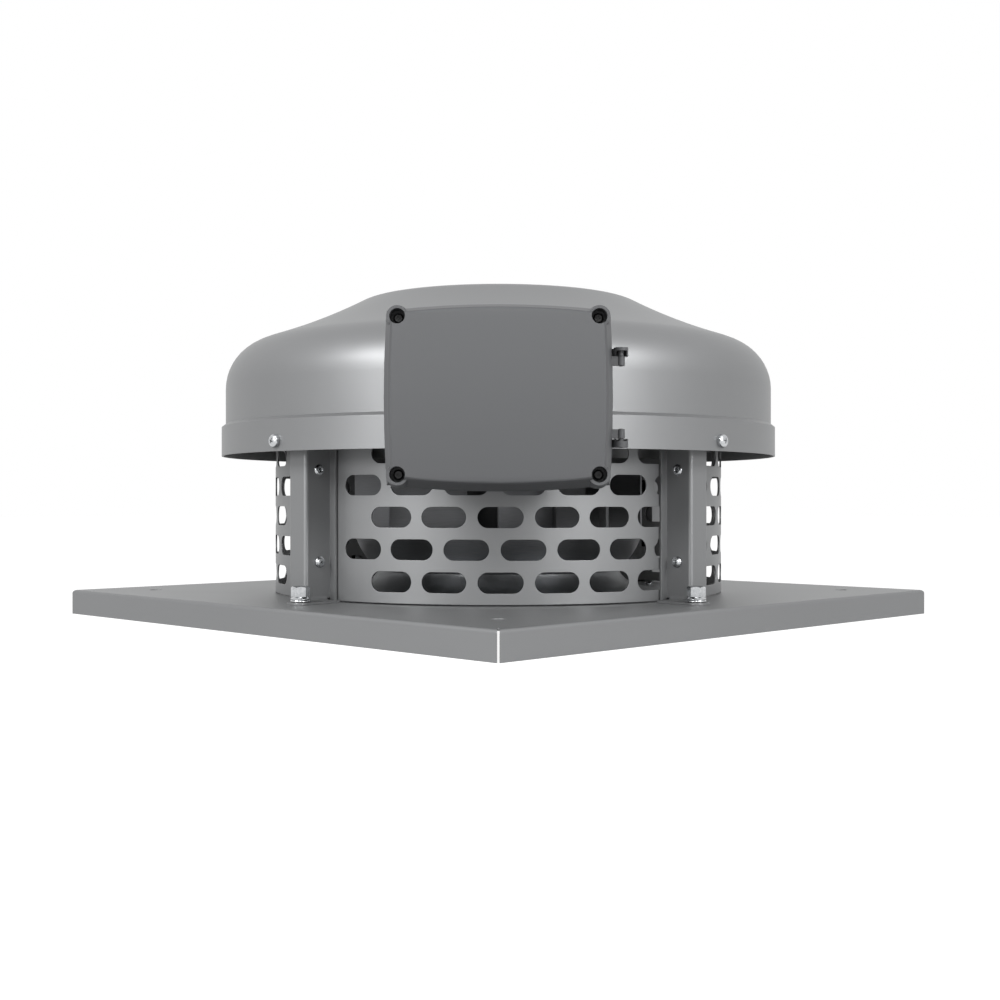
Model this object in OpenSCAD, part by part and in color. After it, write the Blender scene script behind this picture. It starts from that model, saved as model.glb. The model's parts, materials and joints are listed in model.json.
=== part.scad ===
// Centrifugal roof fan on a square base, with a spun cowl, a perforated guard and a control box.
// Z is up. The origin is the middle of the base at roof level, and the base sides run along X and Y.

/* [Base plate] */
// Side of the square base plate
base_w = 560; // [520:10:640]
// Height of the base skirts
base_h = 22; // [18:1:25]
// Sheet thickness of the base plate
base_t = 1.5; // [1:0.25:2]
// Outer radius of the bend between plate and skirt
base_bend_r = 3; // [2.5:0.5:5]
// Width of the open slit at each corner
corner_slit_w = 1.5; // [1:0.25:3]
// Distance between the roof fixing holes
fixing_spacing = 450; // [430:5:470]
// Radius of a roof fixing hole
fixing_hole_r = 5.5; // [4:0.5:7]

/* [Inlet nozzle] */
// Inner radius of the nozzle throat
throat_r = 109; // [105:1:110]
// Inner radius of the nozzle mouth in the base plane
mouth_r = 150; // [145:1:154]
// Height of the bell-shaped nozzle above the base
nozzle_rise = 24; // [22:1:25]
// Sheet thickness of the nozzle
nozzle_t = 1.5; // [1:0.25:2]
// Width of the nozzle flange
nozzle_flange_w = 16; // [14:1:20]
// Number of nozzle screws
nozzle_screw_count = 8; // [4:1:12]

/* [Bird guard] */
// Outer radius of the perforated guard
guard_r = 204.2; // [200:0.2:206]
// Sheet thickness of the guard
guard_t = 1.2; // [0.8:0.1:2]
// Gap between guard and base plate
guard_gap = 1.2; // [0.8:0.1:3]
// Length of a slot
slot_l = 36.2; // [28:0.2:38]
// Height of a slot
slot_h = 16.5; // [10:0.5:18]
// Angle from one slot to the next in a row
slot_pitch = 12.66; // [12.4:0.02:12.8]
// Slots in a full row
slot_count = 28; // [20:1:28]
// Slots from the middle of the control box to the guard's seam
seam_slots = 2; // [1:1:3]
// Rows of slots
slot_rows = 5; // [3:1:5]
// Height from one row to the next
row_pitch = 25.7; // [20:0.1:26]
// Height of the lowest row's middle above the base plate
first_row_h = 18.3; // [14:0.1:20]
// Turn of the lowest row from the middle of the control box
row_turn = 0.5; // [-2:0.1:2]
// Turn between neighbouring rows
row_stagger = 5.07; // [4:0.01:7]

/* [Legs] */
// Distance from the fan axis to the outer face of a leg
leg_r = 231; // [228:0.5:234]
// Width of a leg across its flanges
leg_w = 22.4; // [20:0.2:26]
// Sheet thickness of a leg
leg_t = 2; // [1.5:0.25:2.5]
// Outer bend radius of a leg
leg_bend_r = 3; // [2.5:0.5:4]
// Width of the lip along a leg's inner edge
leg_lip_w = 7; // [5:0.2:8]
// Distance from the fan axis to the foot bolt, along the leg
foot_bolt_r = 242.2; // [240:0.2:245]
// Distance from the leg's middle plane to the foot bolt
foot_bolt_y = 19.5; // [19:0.1:22]
// Height of the lower leg screw
leg_screw_z = 55; // [50:1:65]
// Height of the upper leg rivet
leg_rivet_z = 129.8; // [120:0.2:132]

/* [Motor plate] */
// Height of the motor plate's underside
mplate_z = 156; // [154:1:162]
// Thickness of the motor plate
mplate_t = 2.5; // [2:0.5:4]
// Radius of the motor plate's disc
mplate_r = 190; // [185:1:196]
// Lower edge of the motor plate's rim
mplate_rim_z = 139.5; // [132:0.5:146]
// Width of an arm over a leg
arm_w = 30; // [24:1:36]

/* [Cowl] */
// Outer radius of the cowl's band
band_r = 252; // [250:0.5:253]
// Lower edge of the cowl's band
band_z = 144.5; // [140:0.5:146]
// Height of the cowl's band
band_h = 25.7; // [24:0.1:28]
// Outer radius of the cowl's wall
cowl_r = 248.4; // [247:0.2:249]
// Height at which the wall turns into the shoulder
shoulder_z = 204.6; // [195:0.2:215]
// Radius of the shoulder
shoulder_r = 44.8; // [35:0.2:55]
// Radius of the hollow slope
hollow_r = 540; // [500:10:600]
// Radius of the brow between slope and crown
brow_r = 31.5; // [20:0.5:40]
// Slope angle at the shoulder
slope_low = 17.7; // [16:0.1:19]
// Slope angle at the brow
slope_high = 27.9; // [26:0.1:29]
// Slope angle at the edge of the crown
crown_slope = 6.5; // [5:0.5:8]
// Sheet thickness of the cowl
cowl_t = 1.5; // [1:0.25:2]

/* [Impeller] */
// Radius to the blade tips
wheel_r = 132.5; // [128:0.5:134]
// Number of blades
blade_count = 8; // [6:1:10]
// Radius to the blades' leading edges
blade_in_r = 96; // [90:1:100]
// Blade angle at the tip
blade_out_angle = 38; // [34:1:42]
// Blade angle at the leading edge
blade_in_angle = 26; // [22:1:30]
// Thickness of a blade
blade_t = 2; // [1.5:0.25:3]
// Height of the backplate's underside
back_z = 129; // [127:0.5:131]
// Thickness of the backplate and the shroud
wheel_t = 2; // [1.5:0.25:2.5]
// Inner radius of the impeller's eye
eye_r = 113; // [112:0.5:115]
// Height of the eye's lower edge
eye_z = 42.5; // [41:0.5:44]
// Radius of the shroud's curve
shroud_curve_r = 80; // [70:5:120]
// Height of the shroud's rim
rim_z = 76.5; // [74:0.5:79]

/* [Motor] */
// Outer radius of the rotor bell
rotor_r = 54; // [52:0.5:55]
// Lower end of the rotor bell
rotor_z = 60; // [58:1:64]
// Wall of the rotor bell
rotor_t = 3; // [2.5:0.5:3.5]
// Radius of the motor shaft
shaft_r = 6; // [5:0.5:6]
// Outer radius of the bearings
bearing_r = 16; // [15:0.5:17]
// Width of a bearing
bearing_w = 10; // [9:1:11]
// Length of the laminated cores
core_h = 44; // [38:1:46]
// Radius of the motor's mounting flange
motor_flange_r = 46; // [44:1:50]
// Radius of the motor screw circle
motor_screw_circle_r = 37.5; // [36:0.5:39]

/* [Control box] */
// Direction of the control box, seen from above
box_angle = -45; // [-45:5:-40]
// Distance from the fan axis to the back of the box
box_back = 256; // [255.8:0.1:257]
// Depth of the box body
box_body_d = 27.5; // [25:0.5:30]
// Depth of the lid at its edge
lid_d = 27; // [24:0.5:28]
// Width of the lid at its rim
lid_rim_w = 166; // [160:1:170]
// Height of the lid at its rim
lid_rim_h = 135.6; // [130:0.2:140]
// Amount by which each lid side leans in towards the front
lid_draft = 5; // [3:0.5:6]
// Outward bow of the lid's long sides
long_bow = 4.8; // [3:0.2:6]
// Outward bow of the lid's short sides
short_bow = 2.4; // [1:0.2:4]
// Crown of the lid's front
lid_crown = 3; // [1:0.2:4]
// Height of the box's middle
box_mid_z = 179.4; // [178:0.2:181]
// Spacing of the corner wells across the box
well_spacing_w = 143; // [128:1:145]
// Spacing of the corner wells along the height
well_spacing_h = 112; // [100:1:114]
// Radius of a corner well
well_r = 5.7; // [5:0.1:6]
// Wall thickness of the box
box_t = 2.5; // [2:0.25:3]
// Distance from the box's middle to the hinge axis
hinge_x = 88.6; // [88:0.2:90]
// Height from the box's middle to the joint between knuckle and lug
hinge_h = 29.8; // [27:0.2:31]
// Radius of a hinge lug
lug_r = 5.2; // [5:0.1:5.4]
// Radius of a lid knuckle
knuckle_r = 2.8; // [2.6:0.1:3.2]
// Radius of a hinge pin
hinge_pin_r = 1.25; // [1:0.05:1.4]

/* [Hidden] */
$fn = 96;

// Shared clearances and overruns
cut = 1;
seat_gap = 0.3;
hole_gap = 0.25;
press_gap = 0.05;
run_gap = 0.08;
leg_angles = [-90, 0, 90, 180];
leg_flips = [0, 1, 0, 1];

// Base plate
base_hole_r = mouth_r;
slit_reach = 2 * base_bend_r;
foot_hole_r = 4.5;

// Inlet nozzle
nozzle_steps = 14;
nozzle_flange_r = mouth_r + nozzle_flange_w;
nozzle_screw_circle_r = mouth_r + nozzle_flange_w / 2;
nozzle_screw_r = 2;
nozzle_head_r = 3.8;
nozzle_head_h = 2.4;
nozzle_screw_l = 8;

// Bird guard
guard_z = base_h + guard_gap;
guard_top = mplate_z - seat_gap;

// Legs
leg_top = mplate_z;
leg_half = leg_w / 2;
leg_in_x = sqrt(pow(guard_r, 2) - pow(leg_half, 2)) + seat_gap;
tab_half = 8;
tab_end_r = 8;
tab_fillet_r = 3;
tab_notch_w = 3;
tab_in_x = leg_in_x + leg_t + tab_notch_w;
tab_out_x = foot_bolt_r + tab_half + press_gap;
tab_out_y = foot_bolt_y + tab_half;
head_tab_l = 15;
head_tab_w = leg_w - 2 * leg_bend_r;
head_bolt_x = leg_r - leg_bend_r - head_tab_l / 2;
flange_mid_x = (leg_in_x + leg_t + leg_r - leg_bend_r) / 2;

// Fasteners of the legs: M8 foot bolts, M6 head bolts, M5 screws and rivets
foot_bolt_thread_r = 4;
foot_hex_r = 7.5;
foot_hex_h = 8.2;
foot_collar_r = 7.9;
foot_collar_h = 2.4;
foot_washer_r = 7.9;
foot_washer_h = 2.2;
foot_nut_h = 6.5;
foot_bolt_l = 16;
m6_thread_r = 3;
m6_hex_r = 5.77;
m6_hex_h = 4;
m6_nut_h = 5;
m6_bolt_l = 12;
leg_screw_r = 2.4;
leg_head_r = 4.6;
leg_head_h = 3;
leg_screw_l = 9;
rivet_bore_r = 2;
rivet_head_r = 4.6;
rivet_head_h = 1.4;
drive_r = 1.6;
drive_d = 1.2;
head_top_share = 0.72;
rivet_top_share = 0.8;

// Guard rails, folded angles between leg flange and guard
rail_t = 1.5;
rail_rise = 20;
rail_drop = 12;
rail_edge = 8;
rail_inset = 4;
rail_z0 = base_h + rail_rise;
rail_z1 = mplate_z - rail_drop;
rail_in_x = guard_r + seat_gap;
rail_out_x = flange_mid_x + rail_edge;
rail_side_y = leg_half - leg_t - press_gap;
rail_far_y = -rail_inset;

// Motor plate
lug_drop = 9;
lug_z0 = mplate_z - lug_drop;
lug_out_r = band_r - cowl_t - seat_gap;
lug_half_angle = 4;
lug_root_share = 0.9;
plate_bore_r = 24;
plate_screw_drop = 3.3;
plate_screw_z = mplate_z - plate_screw_drop;
arm_screw_r = 2.4;

// Cowl
cowl_steps = 10;
step_h = 2.8;
cowl_screw_l = 10;
cowl_head_r = 5;
cowl_head_h = 3.2;

// Cowl outline: shoulder, hollow slope, brow and crown as arcs that run into each other
shoulder_c = [cowl_r - shoulder_r, shoulder_z];
function on_arc(c, r, a) = [c[0] + r * sin(a), c[1] + r * cos(a)];
function cowl_arc(c, r, a0, a1) =
  [for (i = [0 : cowl_steps]) on_arc(c, r, a0 + (a1 - a0) * i / cowl_steps)];
function cowl_turn(d) =
  let (
    hollow_c = on_arc(shoulder_c, shoulder_r + hollow_r, slope_low),
    brow_c = on_arc(hollow_c, -hollow_r - brow_r, slope_high),
    edge = on_arc(brow_c, brow_r, crown_slope),
    crown_r = edge[0] / sin(crown_slope),
    crown_c = [0, edge[1] - crown_r * cos(crown_slope)]
  )
  concat(
    cowl_arc(shoulder_c, shoulder_r - d, 90, slope_low),
    cowl_arc(hollow_c, -hollow_r - d, slope_low, slope_high),
    cowl_arc(brow_c, brow_r - d, slope_high, crown_slope),
    cowl_arc(crown_c, crown_r - d, crown_slope, 0)
  );
function cowl_foot(d) = [
  [band_r - d, band_z],
  [band_r - d, band_z + band_h - d / 2],
  [cowl_r - d, band_z + band_h + step_h - d / 2]
];
function reversed(p) = [for (i = [len(p) - 1 : -1 : 0]) p[i]];

// Impeller
hub_gap = 0.5;
back_r = wheel_r + wheel_t / 2;
back_bore_r = rotor_r + hub_gap;
collar_w = 13;
collar_r = rotor_r + collar_w;
collar_h = 3;
rotor_screw_count = 6;
rotor_screw_circle_r = (rotor_r + collar_r) / 2 + hub_gap;
rotor_screw_r = 2;
rotor_head_r = 3.8;
rotor_head_h = 2.2;
rim_lip_w = 2;
shroud_steps = 12;
shroud_end = [back_r, rim_z];
shroud_start = [eye_r, eye_z];
shroud_chord = norm(shroud_end - shroud_start);
shroud_turn = atan2(shroud_end[1] - shroud_start[1], shroud_end[0] - shroud_start[0]);
shroud_half = asin(shroud_chord / 2 / shroud_curve_r);
shroud_c = shroud_start + shroud_curve_r
  * [cos(shroud_turn + 90 - shroud_half), sin(shroud_turn + 90 - shroud_half)];
function shroud_line(d) = [
  for (i = [0 : shroud_steps])
    let (a = shroud_turn - 90 - shroud_half + 2 * shroud_half * i / shroud_steps)
    shroud_c + (shroud_curve_r - d) * [cos(a), sin(a)]
];
blade_curve_r = (pow(wheel_r, 2) - pow(blade_in_r, 2))
  / (2 * (wheel_r * cos(blade_out_angle) - blade_in_r * cos(blade_in_angle)));
blade_c = [wheel_r - blade_curve_r * cos(blade_out_angle), -blade_curve_r * sin(blade_out_angle)];
blade_c_r = norm(blade_c);
function blade_turn(r) =
  acos((pow(blade_c_r, 2) + pow(blade_curve_r, 2) - pow(r, 2)) / (2 * blade_c_r * blade_curve_r));
blade_sweep = blade_turn(wheel_r) - blade_turn(blade_in_r);
blade_lead_drop = 12;
blade_lead_rise = 7.5;
blade_lead_z = eye_z + blade_lead_rise;

// Motor
rotor_rise = 3;
rotor_top = back_z + rotor_rise;
rotor_floor = rotor_z + rotor_t;
core_rise = 16;
core_z = rotor_z + core_rise;
air_gap = 0.5;
core_split_r = 42;
rotor_core_out_r = rotor_r - rotor_t - press_gap;
tube_t = 4;
tube_drop = 4;
tube_r = bearing_r + tube_t;
tube_z = core_z - tube_drop;
cover_inset = 4;
cover_rise = 2;
cover_r = rotor_r - cover_inset;
cover_z = rotor_top + cover_rise;
cover_h = 4;
neck_r = 34;
motor_flange_h = 6;
winding_in_r = 25;
winding_out_r = 40;
winding_h = 9;
stator_slots = 12;
slot_pocket_r = 2.6;
lower_bearing_rise = 1.5;
upper_bearing_drop = 6;
shaft_over = 3;
lower_bearing_z = tube_z + lower_bearing_rise;
upper_bearing_z = cover_z - upper_bearing_drop;
shaft_top = upper_bearing_z + bearing_w + shaft_over;
shaft_boss_r = 12;
shaft_boss_h = 5;
ring_in_r = 8.8;
ring_out_r = 13.2;
ball_r = 2.9;
ball_circle_r = (ring_in_r + ring_out_r) / 2;
ball_count = 8;
bearing_shoulder = 2;
m6_screw_l = 14;
motor_hole_r = m6_thread_r + hole_gap;
rotor_dome_r = 8;
rotor_dome_steps = 6;

// Control box, in a frame whose X points away from the fan and whose Y points right
box_front = box_back + box_body_d;
gasket_t = 1.5;
gasket_w = 2.4;
lid_back = box_front + gasket_t;
lid_front = lid_back + lid_d;
lid_face_w = lid_rim_w - 2 * lid_draft;
lid_face_h = lid_rim_h - 2 * lid_draft;
lid_edge_r = 2;
lid_edge_steps = 3;
rim_inset = 1.5;
post_face_r = 7.8;
post_rim_r = 10;
post_front_drop = 2.5;
well_d = 17;
lid_screw_r = 1.75;
lid_screw_head_r = 3.6;
lid_screw_head_h = 2.6;
lid_screw_l = 9.7;
boss_r = 4.6;
post_seal_r = boss_r + box_t + seat_gap;
post_corner = lid_rim_w / 4;
crown_r = (pow(lid_face_h / 2, 2) + pow(lid_crown, 2)) / (2 * lid_crown);
knuckle_h = 6.7;
lug_h = 6;
hinge_set = 2.5;
hinge_v = lid_back + hinge_set;
lug_root_set = 12;
lug_root_v = box_front - lug_root_set;
lug_root_w = 6;
lug_flank_angle = 40;
lug_cap_h = 2.3;
lug_notch_h = 1.6;
lug_wall = 1.3;
lug_boss_w = 0.9;
knuckle_web_w = 3.4;
pin_over = 0.6;
slab = 0.01;

// Bracket and inner pieces of the control box
bracket_t = 2;
bracket_v = box_back - bracket_t;
bracket_half_w = 57;
bracket_drop = 32.4;
bracket_rise = 46.6;
bracket_z0 = box_mid_z - bracket_drop;
bracket_z1 = box_mid_z + bracket_rise;
strap_r = band_r + seat_gap;
strap_half_angle = 13;
gusset_v = (strap_r + bracket_t / 2) * cos(strap_half_angle);
strap_rise = 3;
strap_h = 21;
strap_z0 = band_z + strap_rise;
strap_z1 = strap_z0 + strap_h;
band_screw_turn = 9.5;
band_screw_pitch = 11;
box_screw_x = 36;
box_screw_pitch = 28;
box_screw_rise = 18.6;
m4_thread_r = 2;
m4_head_r = 3.8;
m4_head_h = 2.4;
m4_screw_l = 8;
gland_x = 30;
gland_drop = 50.9;
gland_z = box_mid_z - gland_drop;
gland_thread_r = 7.9;
gland_hex_r = 11.5;
gland_hex_h = 5;
gland_dome_r = 9.5;
gland_dome_h = 14;
gland_bore_r = 5;
gland_in_l = 8;
gland_nut_h = 3;
board_w = 104;
board_h = 56;
board_t = 1.6;
board_rise = 8.6;
board_z = box_mid_z + board_rise;
board_gap = 6;
board_v = box_back + box_t + board_gap;
post_r = 3.5;
board_hole_inset = 5;
board_screw_r = 1.5;
board_head_r = 2.8;
board_head_h = 1.8;
board_screw_l = 6;
board_drive_r = 1.2;
terminal_w = 66;
terminal_h = 16;
terminal_d = 13;
terminal_drop = 38.4;
terminal_z = box_mid_z - terminal_drop;
terminal_screw_share = 0.6;
terminal_ways = 6;
terminal_screw_r = 2.4;
terminal_screw_d = 1.5;
capacitor_r = 11;
capacitor_h = 24;
capacitor_x = 30;
filter_cap_r = 6;
filter_cap_h = 18;
filter_cap_x = 6;
filter_cap_rise = 12;
relay_x = 10;
relay_w = 26;
relay_h = 30;
relay_d = 16;
relay_drop = 18;

// Shared shapes

module pan_screw(head_r, head_h, thread_r, length, cross_r = drive_r) {
  difference() {
    union() {
      cylinder(h = head_h / 2, r = head_r);
      translate([0, 0, head_h / 2]) cylinder(h = head_h / 2, r1 = head_r, r2 = head_r * head_top_share);
      translate([0, 0, -length]) cylinder(h = length + head_h / 2, r = thread_r);
    }
    for (turn = [0, 90])
      rotate([0, 0, turn]) translate([0, 0, head_h - drive_d / 2 + cut / 2])
        cube([2 * cross_r, cross_r / 2, drive_d + cut], center = true);
  }
}

module hex_bolt(hex_r, hex_h, thread_r, length) {
  cylinder(h = hex_h, r = hex_r, $fn = 6);
  translate([0, 0, -length]) cylinder(h = length + hex_h / 2, r = thread_r);
}

module hex_nut(hex_r, nut_h, thread_r) {
  difference() {
    cylinder(h = nut_h, r = hex_r, $fn = 6);
    translate([0, 0, -cut]) cylinder(h = nut_h + 2 * cut, r = thread_r + press_gap);
  }
}

module ring(in_r, out_r, z0, z1) {
  translate([0, 0, z0]) difference() {
    cylinder(h = z1 - z0, r = out_r);
    translate([0, 0, -cut]) cylinder(h = z1 - z0 + 2 * cut, r = in_r);
  }
}

module sector(in_r, out_r, z0, z1, half_angle) {
  rotate([0, 0, -half_angle]) rotate_extrude(angle = 2 * half_angle)
    translate([in_r, z0]) square([out_r - in_r, z1 - z0]);
}

module at_leg(i) {
  rotate([0, 0, leg_angles[i]]) mirror([0, leg_flips[i], 0]) children();
}

module at_every_leg() {
  for (i = [0 : 3]) at_leg(i) children();
}

module at_box() {
  rotate([0, 0, box_angle]) children();
}

// Places a child at (across, height) on the box, with its Z pointing away from the fan
module on_box(v, across = 0, z = 0) {
  translate([v, across, z]) rotate([0, 90, 0]) children();
}

module at_board_holes(v) {
  for (sx = [-1, 1], sz = [-1, 1])
    on_box(v, sx * (board_w / 2 - board_hole_inset), board_z + sz * (board_h / 2 - board_hole_inset))
      children();
}

module at_wells() {
  for (sx = [-1, 1], sz = [-1, 1])
    translate([0, sx * well_spacing_w / 2, box_mid_z + sz * well_spacing_h / 2]) children();
}

module at_band_screws(r) {
  for (turn = [-band_screw_turn, band_screw_turn], s = [-1, 1])
    rotate([0, 0, turn]) translate([r, 0, (strap_z0 + strap_z1 + s * band_screw_pitch) / 2])
      rotate([0, 90, 0]) children();
}

module at_box_screws(v) {
  for (sx = [-1, 1], sz = [-1, 1])
    on_box(v, sx * box_screw_x, box_mid_z + box_screw_rise + sz * box_screw_pitch / 2) children();
}

// Base plate

module pan_side(w, h, r) {
  translate([-w / 2, -cut]) square([w, h - r + cut]);
  translate([-w / 2 + r, 0]) square([w - 2 * r, h]);
  for (s = [-1, 1]) translate([s * (w / 2 - r), h - r]) circle(r = r);
}

module pan_block(w, h, r) {
  intersection() {
    rotate([90, 0, 0]) linear_extrude(height = w + 2 * cut, center = true) pan_side(w, h, r);
    rotate([90, 0, 90]) linear_extrude(height = w + 2 * cut, center = true) pan_side(w, h, r);
    translate([-w, -w, 0]) cube([2 * w, 2 * w, h + cut]);
  }
}

module base_plate() {
  color("#8c8d8f") difference() {
    pan_block(base_w, base_h, base_bend_r);
    translate([0, 0, -cut]) pan_block(base_w - 2 * base_t, base_h - base_t + cut, base_bend_r - base_t);
    translate([0, 0, -cut]) cylinder(h = base_h + 2 * cut, r = base_hole_r);
    for (sx = [-1, 1], sy = [-1, 1]) {
      translate([sx * fixing_spacing / 2, sy * fixing_spacing / 2, 0])
        cylinder(h = base_h + cut, r = fixing_hole_r);
      translate([sx * base_w / 2, sy * base_w / 2, 0]) rotate([0, 0, atan2(sy, sx)])
        translate([0, 0, base_h / 2])
          cube([2 * slit_reach, corner_slit_w, base_h + 2 * cut], center = true);
    }
    for (i = [0 : nozzle_screw_count - 1])
      rotate([0, 0, (i + 0.5) * 360 / nozzle_screw_count]) translate([nozzle_screw_circle_r, 0, 0])
        cylinder(h = base_h + cut, r = nozzle_screw_r + hole_gap);
    at_every_leg() translate([foot_bolt_r, foot_bolt_y, 0]) cylinder(h = base_h + cut, r = foot_hole_r);
  }
}

// Inlet nozzle

function bell(d) = [
  for (i = [0 : nozzle_steps])
    let (a = 90 * i / nozzle_steps)
    [mouth_r - (mouth_r - throat_r - d) * sin(a), base_h + d + (nozzle_rise - d) * (1 - cos(a))]
];

module inlet_nozzle() {
  color("#7d7e80") difference() {
    rotate_extrude() polygon(concat(
      [[nozzle_flange_r, base_h], [nozzle_flange_r, base_h + nozzle_t]],
      bell(nozzle_t), reversed(bell(0))
    ));
    for (i = [0 : nozzle_screw_count - 1])
      rotate([0, 0, (i + 0.5) * 360 / nozzle_screw_count])
        translate([nozzle_screw_circle_r, 0, base_h - cut])
          cylinder(h = nozzle_t + 2 * cut, r = nozzle_screw_r + hole_gap);
  }
}

module nozzle_screws() {
  color("#c9cbcd") for (i = [0 : nozzle_screw_count - 1])
    rotate([0, 0, (i + 0.5) * 360 / nozzle_screw_count])
      translate([nozzle_screw_circle_r, 0, base_h + nozzle_t])
        pan_screw(nozzle_head_r, nozzle_head_h, nozzle_screw_r, nozzle_screw_l);
}

// Bird guard

module slot_cutter() {
  rotate([90, 0, 90]) linear_extrude(height = 8 * guard_t, center = true) {
    square([slot_l - slot_h, slot_h], center = true);
    for (s = [-1, 1]) translate([s * (slot_l - slot_h) / 2, 0]) circle(d = slot_h);
  }
}

module bird_guard() {
  color("#8f9092") difference() {
    ring(guard_r - guard_t, guard_r, guard_z, guard_top);
    for (row = [0 : slot_rows - 1], k = [-seam_slots - row % 2 : slot_count - seam_slots - 2])
      rotate([0, 0, box_angle + row_turn + (row % 2) * row_stagger + k * slot_pitch])
        translate([guard_r - guard_t / 2, 0, base_h + first_row_h + row * row_pitch]) slot_cutter();
  }
}

// Legs

module leg_section() {
  difference() {
    union() {
      translate([leg_in_x, -leg_half]) square([leg_r - leg_bend_r - leg_in_x, leg_w]);
      translate([leg_in_x, -leg_half + leg_bend_r]) square([leg_r - leg_in_x, leg_w - 2 * leg_bend_r]);
      for (s = [-1, 1]) translate([leg_r - leg_bend_r, s * (leg_half - leg_bend_r)]) circle(r = leg_bend_r);
      translate([leg_in_x, -leg_half - leg_lip_w]) square([leg_t, leg_w + 2 * leg_lip_w]);
    }
    translate([leg_in_x - cut, -leg_half + leg_t])
      square([leg_r - leg_t - leg_in_x + cut, leg_w - 2 * leg_t]);
  }
}

module foot_outline() {
  difference() {
    translate([tab_in_x, leg_half - leg_t]) square([tab_out_x - tab_in_x, tab_out_y - leg_half + leg_t]);
    translate([tab_out_x - tab_end_r, tab_out_y - tab_end_r]) square(tab_end_r + cut);
    translate([leg_r, leg_half - leg_t - cut]) square([tab_out_x, leg_bend_r + cut]);
  }
  translate([tab_out_x - tab_end_r, tab_out_y - tab_end_r]) circle(r = tab_end_r);
}

module foot_fillet() {
  translate([tab_in_x, leg_half, base_h + leg_t]) rotate([90, 0, 90])
    linear_extrude(height = leg_r - leg_bend_r - tab_in_x) difference() {
      square(tab_fillet_r);
      translate([tab_fillet_r, tab_fillet_r]) circle(r = tab_fillet_r);
    }
}

module leg_shape() {
  color("#8b8c8e") difference() {
    union() {
      translate([0, 0, base_h]) linear_extrude(height = leg_top - base_h) leg_section();
      translate([0, 0, base_h]) linear_extrude(height = leg_t) foot_outline();
      foot_fillet();
      translate([leg_r - leg_bend_r - head_tab_l, -head_tab_w / 2, leg_top - leg_t])
        cube([head_tab_l + leg_bend_r - leg_t / 2, head_tab_w, leg_t]);
    }
    translate([foot_bolt_r, foot_bolt_y, base_h - cut]) cylinder(h = leg_t + 2 * cut, r = foot_hole_r);
    translate([head_bolt_x, 0, leg_top - leg_t - cut])
      cylinder(h = leg_t + 2 * cut, r = m6_thread_r + hole_gap);
    translate([flange_mid_x, leg_half - leg_t - cut, leg_screw_z]) rotate([-90, 0, 0])
      cylinder(h = leg_t + 2 * cut, r = leg_screw_r + hole_gap);
    translate([flange_mid_x, leg_half - leg_t - cut, leg_rivet_z]) rotate([-90, 0, 0])
      cylinder(h = leg_t + 2 * cut, r = leg_screw_r + hole_gap);
    translate([leg_in_x + leg_t, leg_half - leg_t - cut, base_h - cut])
      cube([tab_notch_w, leg_t + 2 * cut, leg_t + tab_fillet_r / 2 + cut]);
  }
}

module leg_front_left() { at_leg(0) leg_shape(); }
module leg_front_right() { at_leg(1) leg_shape(); }
module leg_back_right() { at_leg(2) leg_shape(); }
module leg_back_left() { at_leg(3) leg_shape(); }

module foot_washers() {
  color("#4b4c4e") at_every_leg() translate([foot_bolt_r, foot_bolt_y, 0])
    ring(foot_bolt_thread_r + press_gap, foot_washer_r, base_h + leg_t, base_h + leg_t + foot_washer_h);
}

module foot_bolts() {
  color("#c9cbcd") at_every_leg()
    translate([foot_bolt_r, foot_bolt_y, base_h + leg_t + foot_washer_h]) {
      cylinder(h = foot_collar_h / 2, r = foot_collar_r);
      translate([0, 0, foot_collar_h / 2])
        cylinder(h = foot_collar_h / 2, r1 = foot_collar_r, r2 = foot_hex_r * cos(30));
      hex_bolt(foot_hex_r, foot_collar_h + foot_hex_h, foot_bolt_thread_r, foot_bolt_l);
    }
}

module foot_nuts() {
  color("#b9bbbd") at_every_leg() translate([foot_bolt_r, foot_bolt_y, base_h - base_t - foot_nut_h])
    hex_nut(foot_hex_r, foot_nut_h, foot_bolt_thread_r);
}

module guard_rails() {
  color("#7f8082") at_every_leg() difference() {
    union() {
      translate([rail_in_x, rail_side_y - rail_t, rail_z0])
        cube([rail_out_x - rail_in_x, rail_t, rail_z1 - rail_z0]);
      translate([rail_in_x, rail_far_y, rail_z0])
        cube([rail_t, rail_side_y - rail_far_y, rail_z1 - rail_z0]);
    }
    for (z = [leg_screw_z, leg_rivet_z])
      translate([flange_mid_x, rail_side_y - rail_t - cut, z]) rotate([-90, 0, 0])
        cylinder(h = rail_t + 2 * cut, r = leg_screw_r + hole_gap);
  }
}

module leg_screws() {
  color("#c9cbcd") at_every_leg() translate([flange_mid_x, leg_half, leg_screw_z]) rotate([-90, 0, 0])
    pan_screw(leg_head_r, leg_head_h, leg_screw_r, leg_screw_l);
}

module leg_rivets() {
  color("#b9bbbd") at_every_leg() translate([flange_mid_x, leg_half, leg_rivet_z]) rotate([-90, 0, 0])
    difference() {
      union() {
        cylinder(h = rivet_head_h, r1 = rivet_head_r, r2 = rivet_head_r * rivet_top_share);
        translate([0, 0, -leg_screw_l]) cylinder(h = leg_screw_l + rivet_head_h / 2, r = leg_screw_r);
      }
      translate([0, 0, -leg_screw_l + drive_d])
        cylinder(h = leg_screw_l + cut + rivet_head_h, r = rivet_bore_r);
    }
}

// Motor plate

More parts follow.
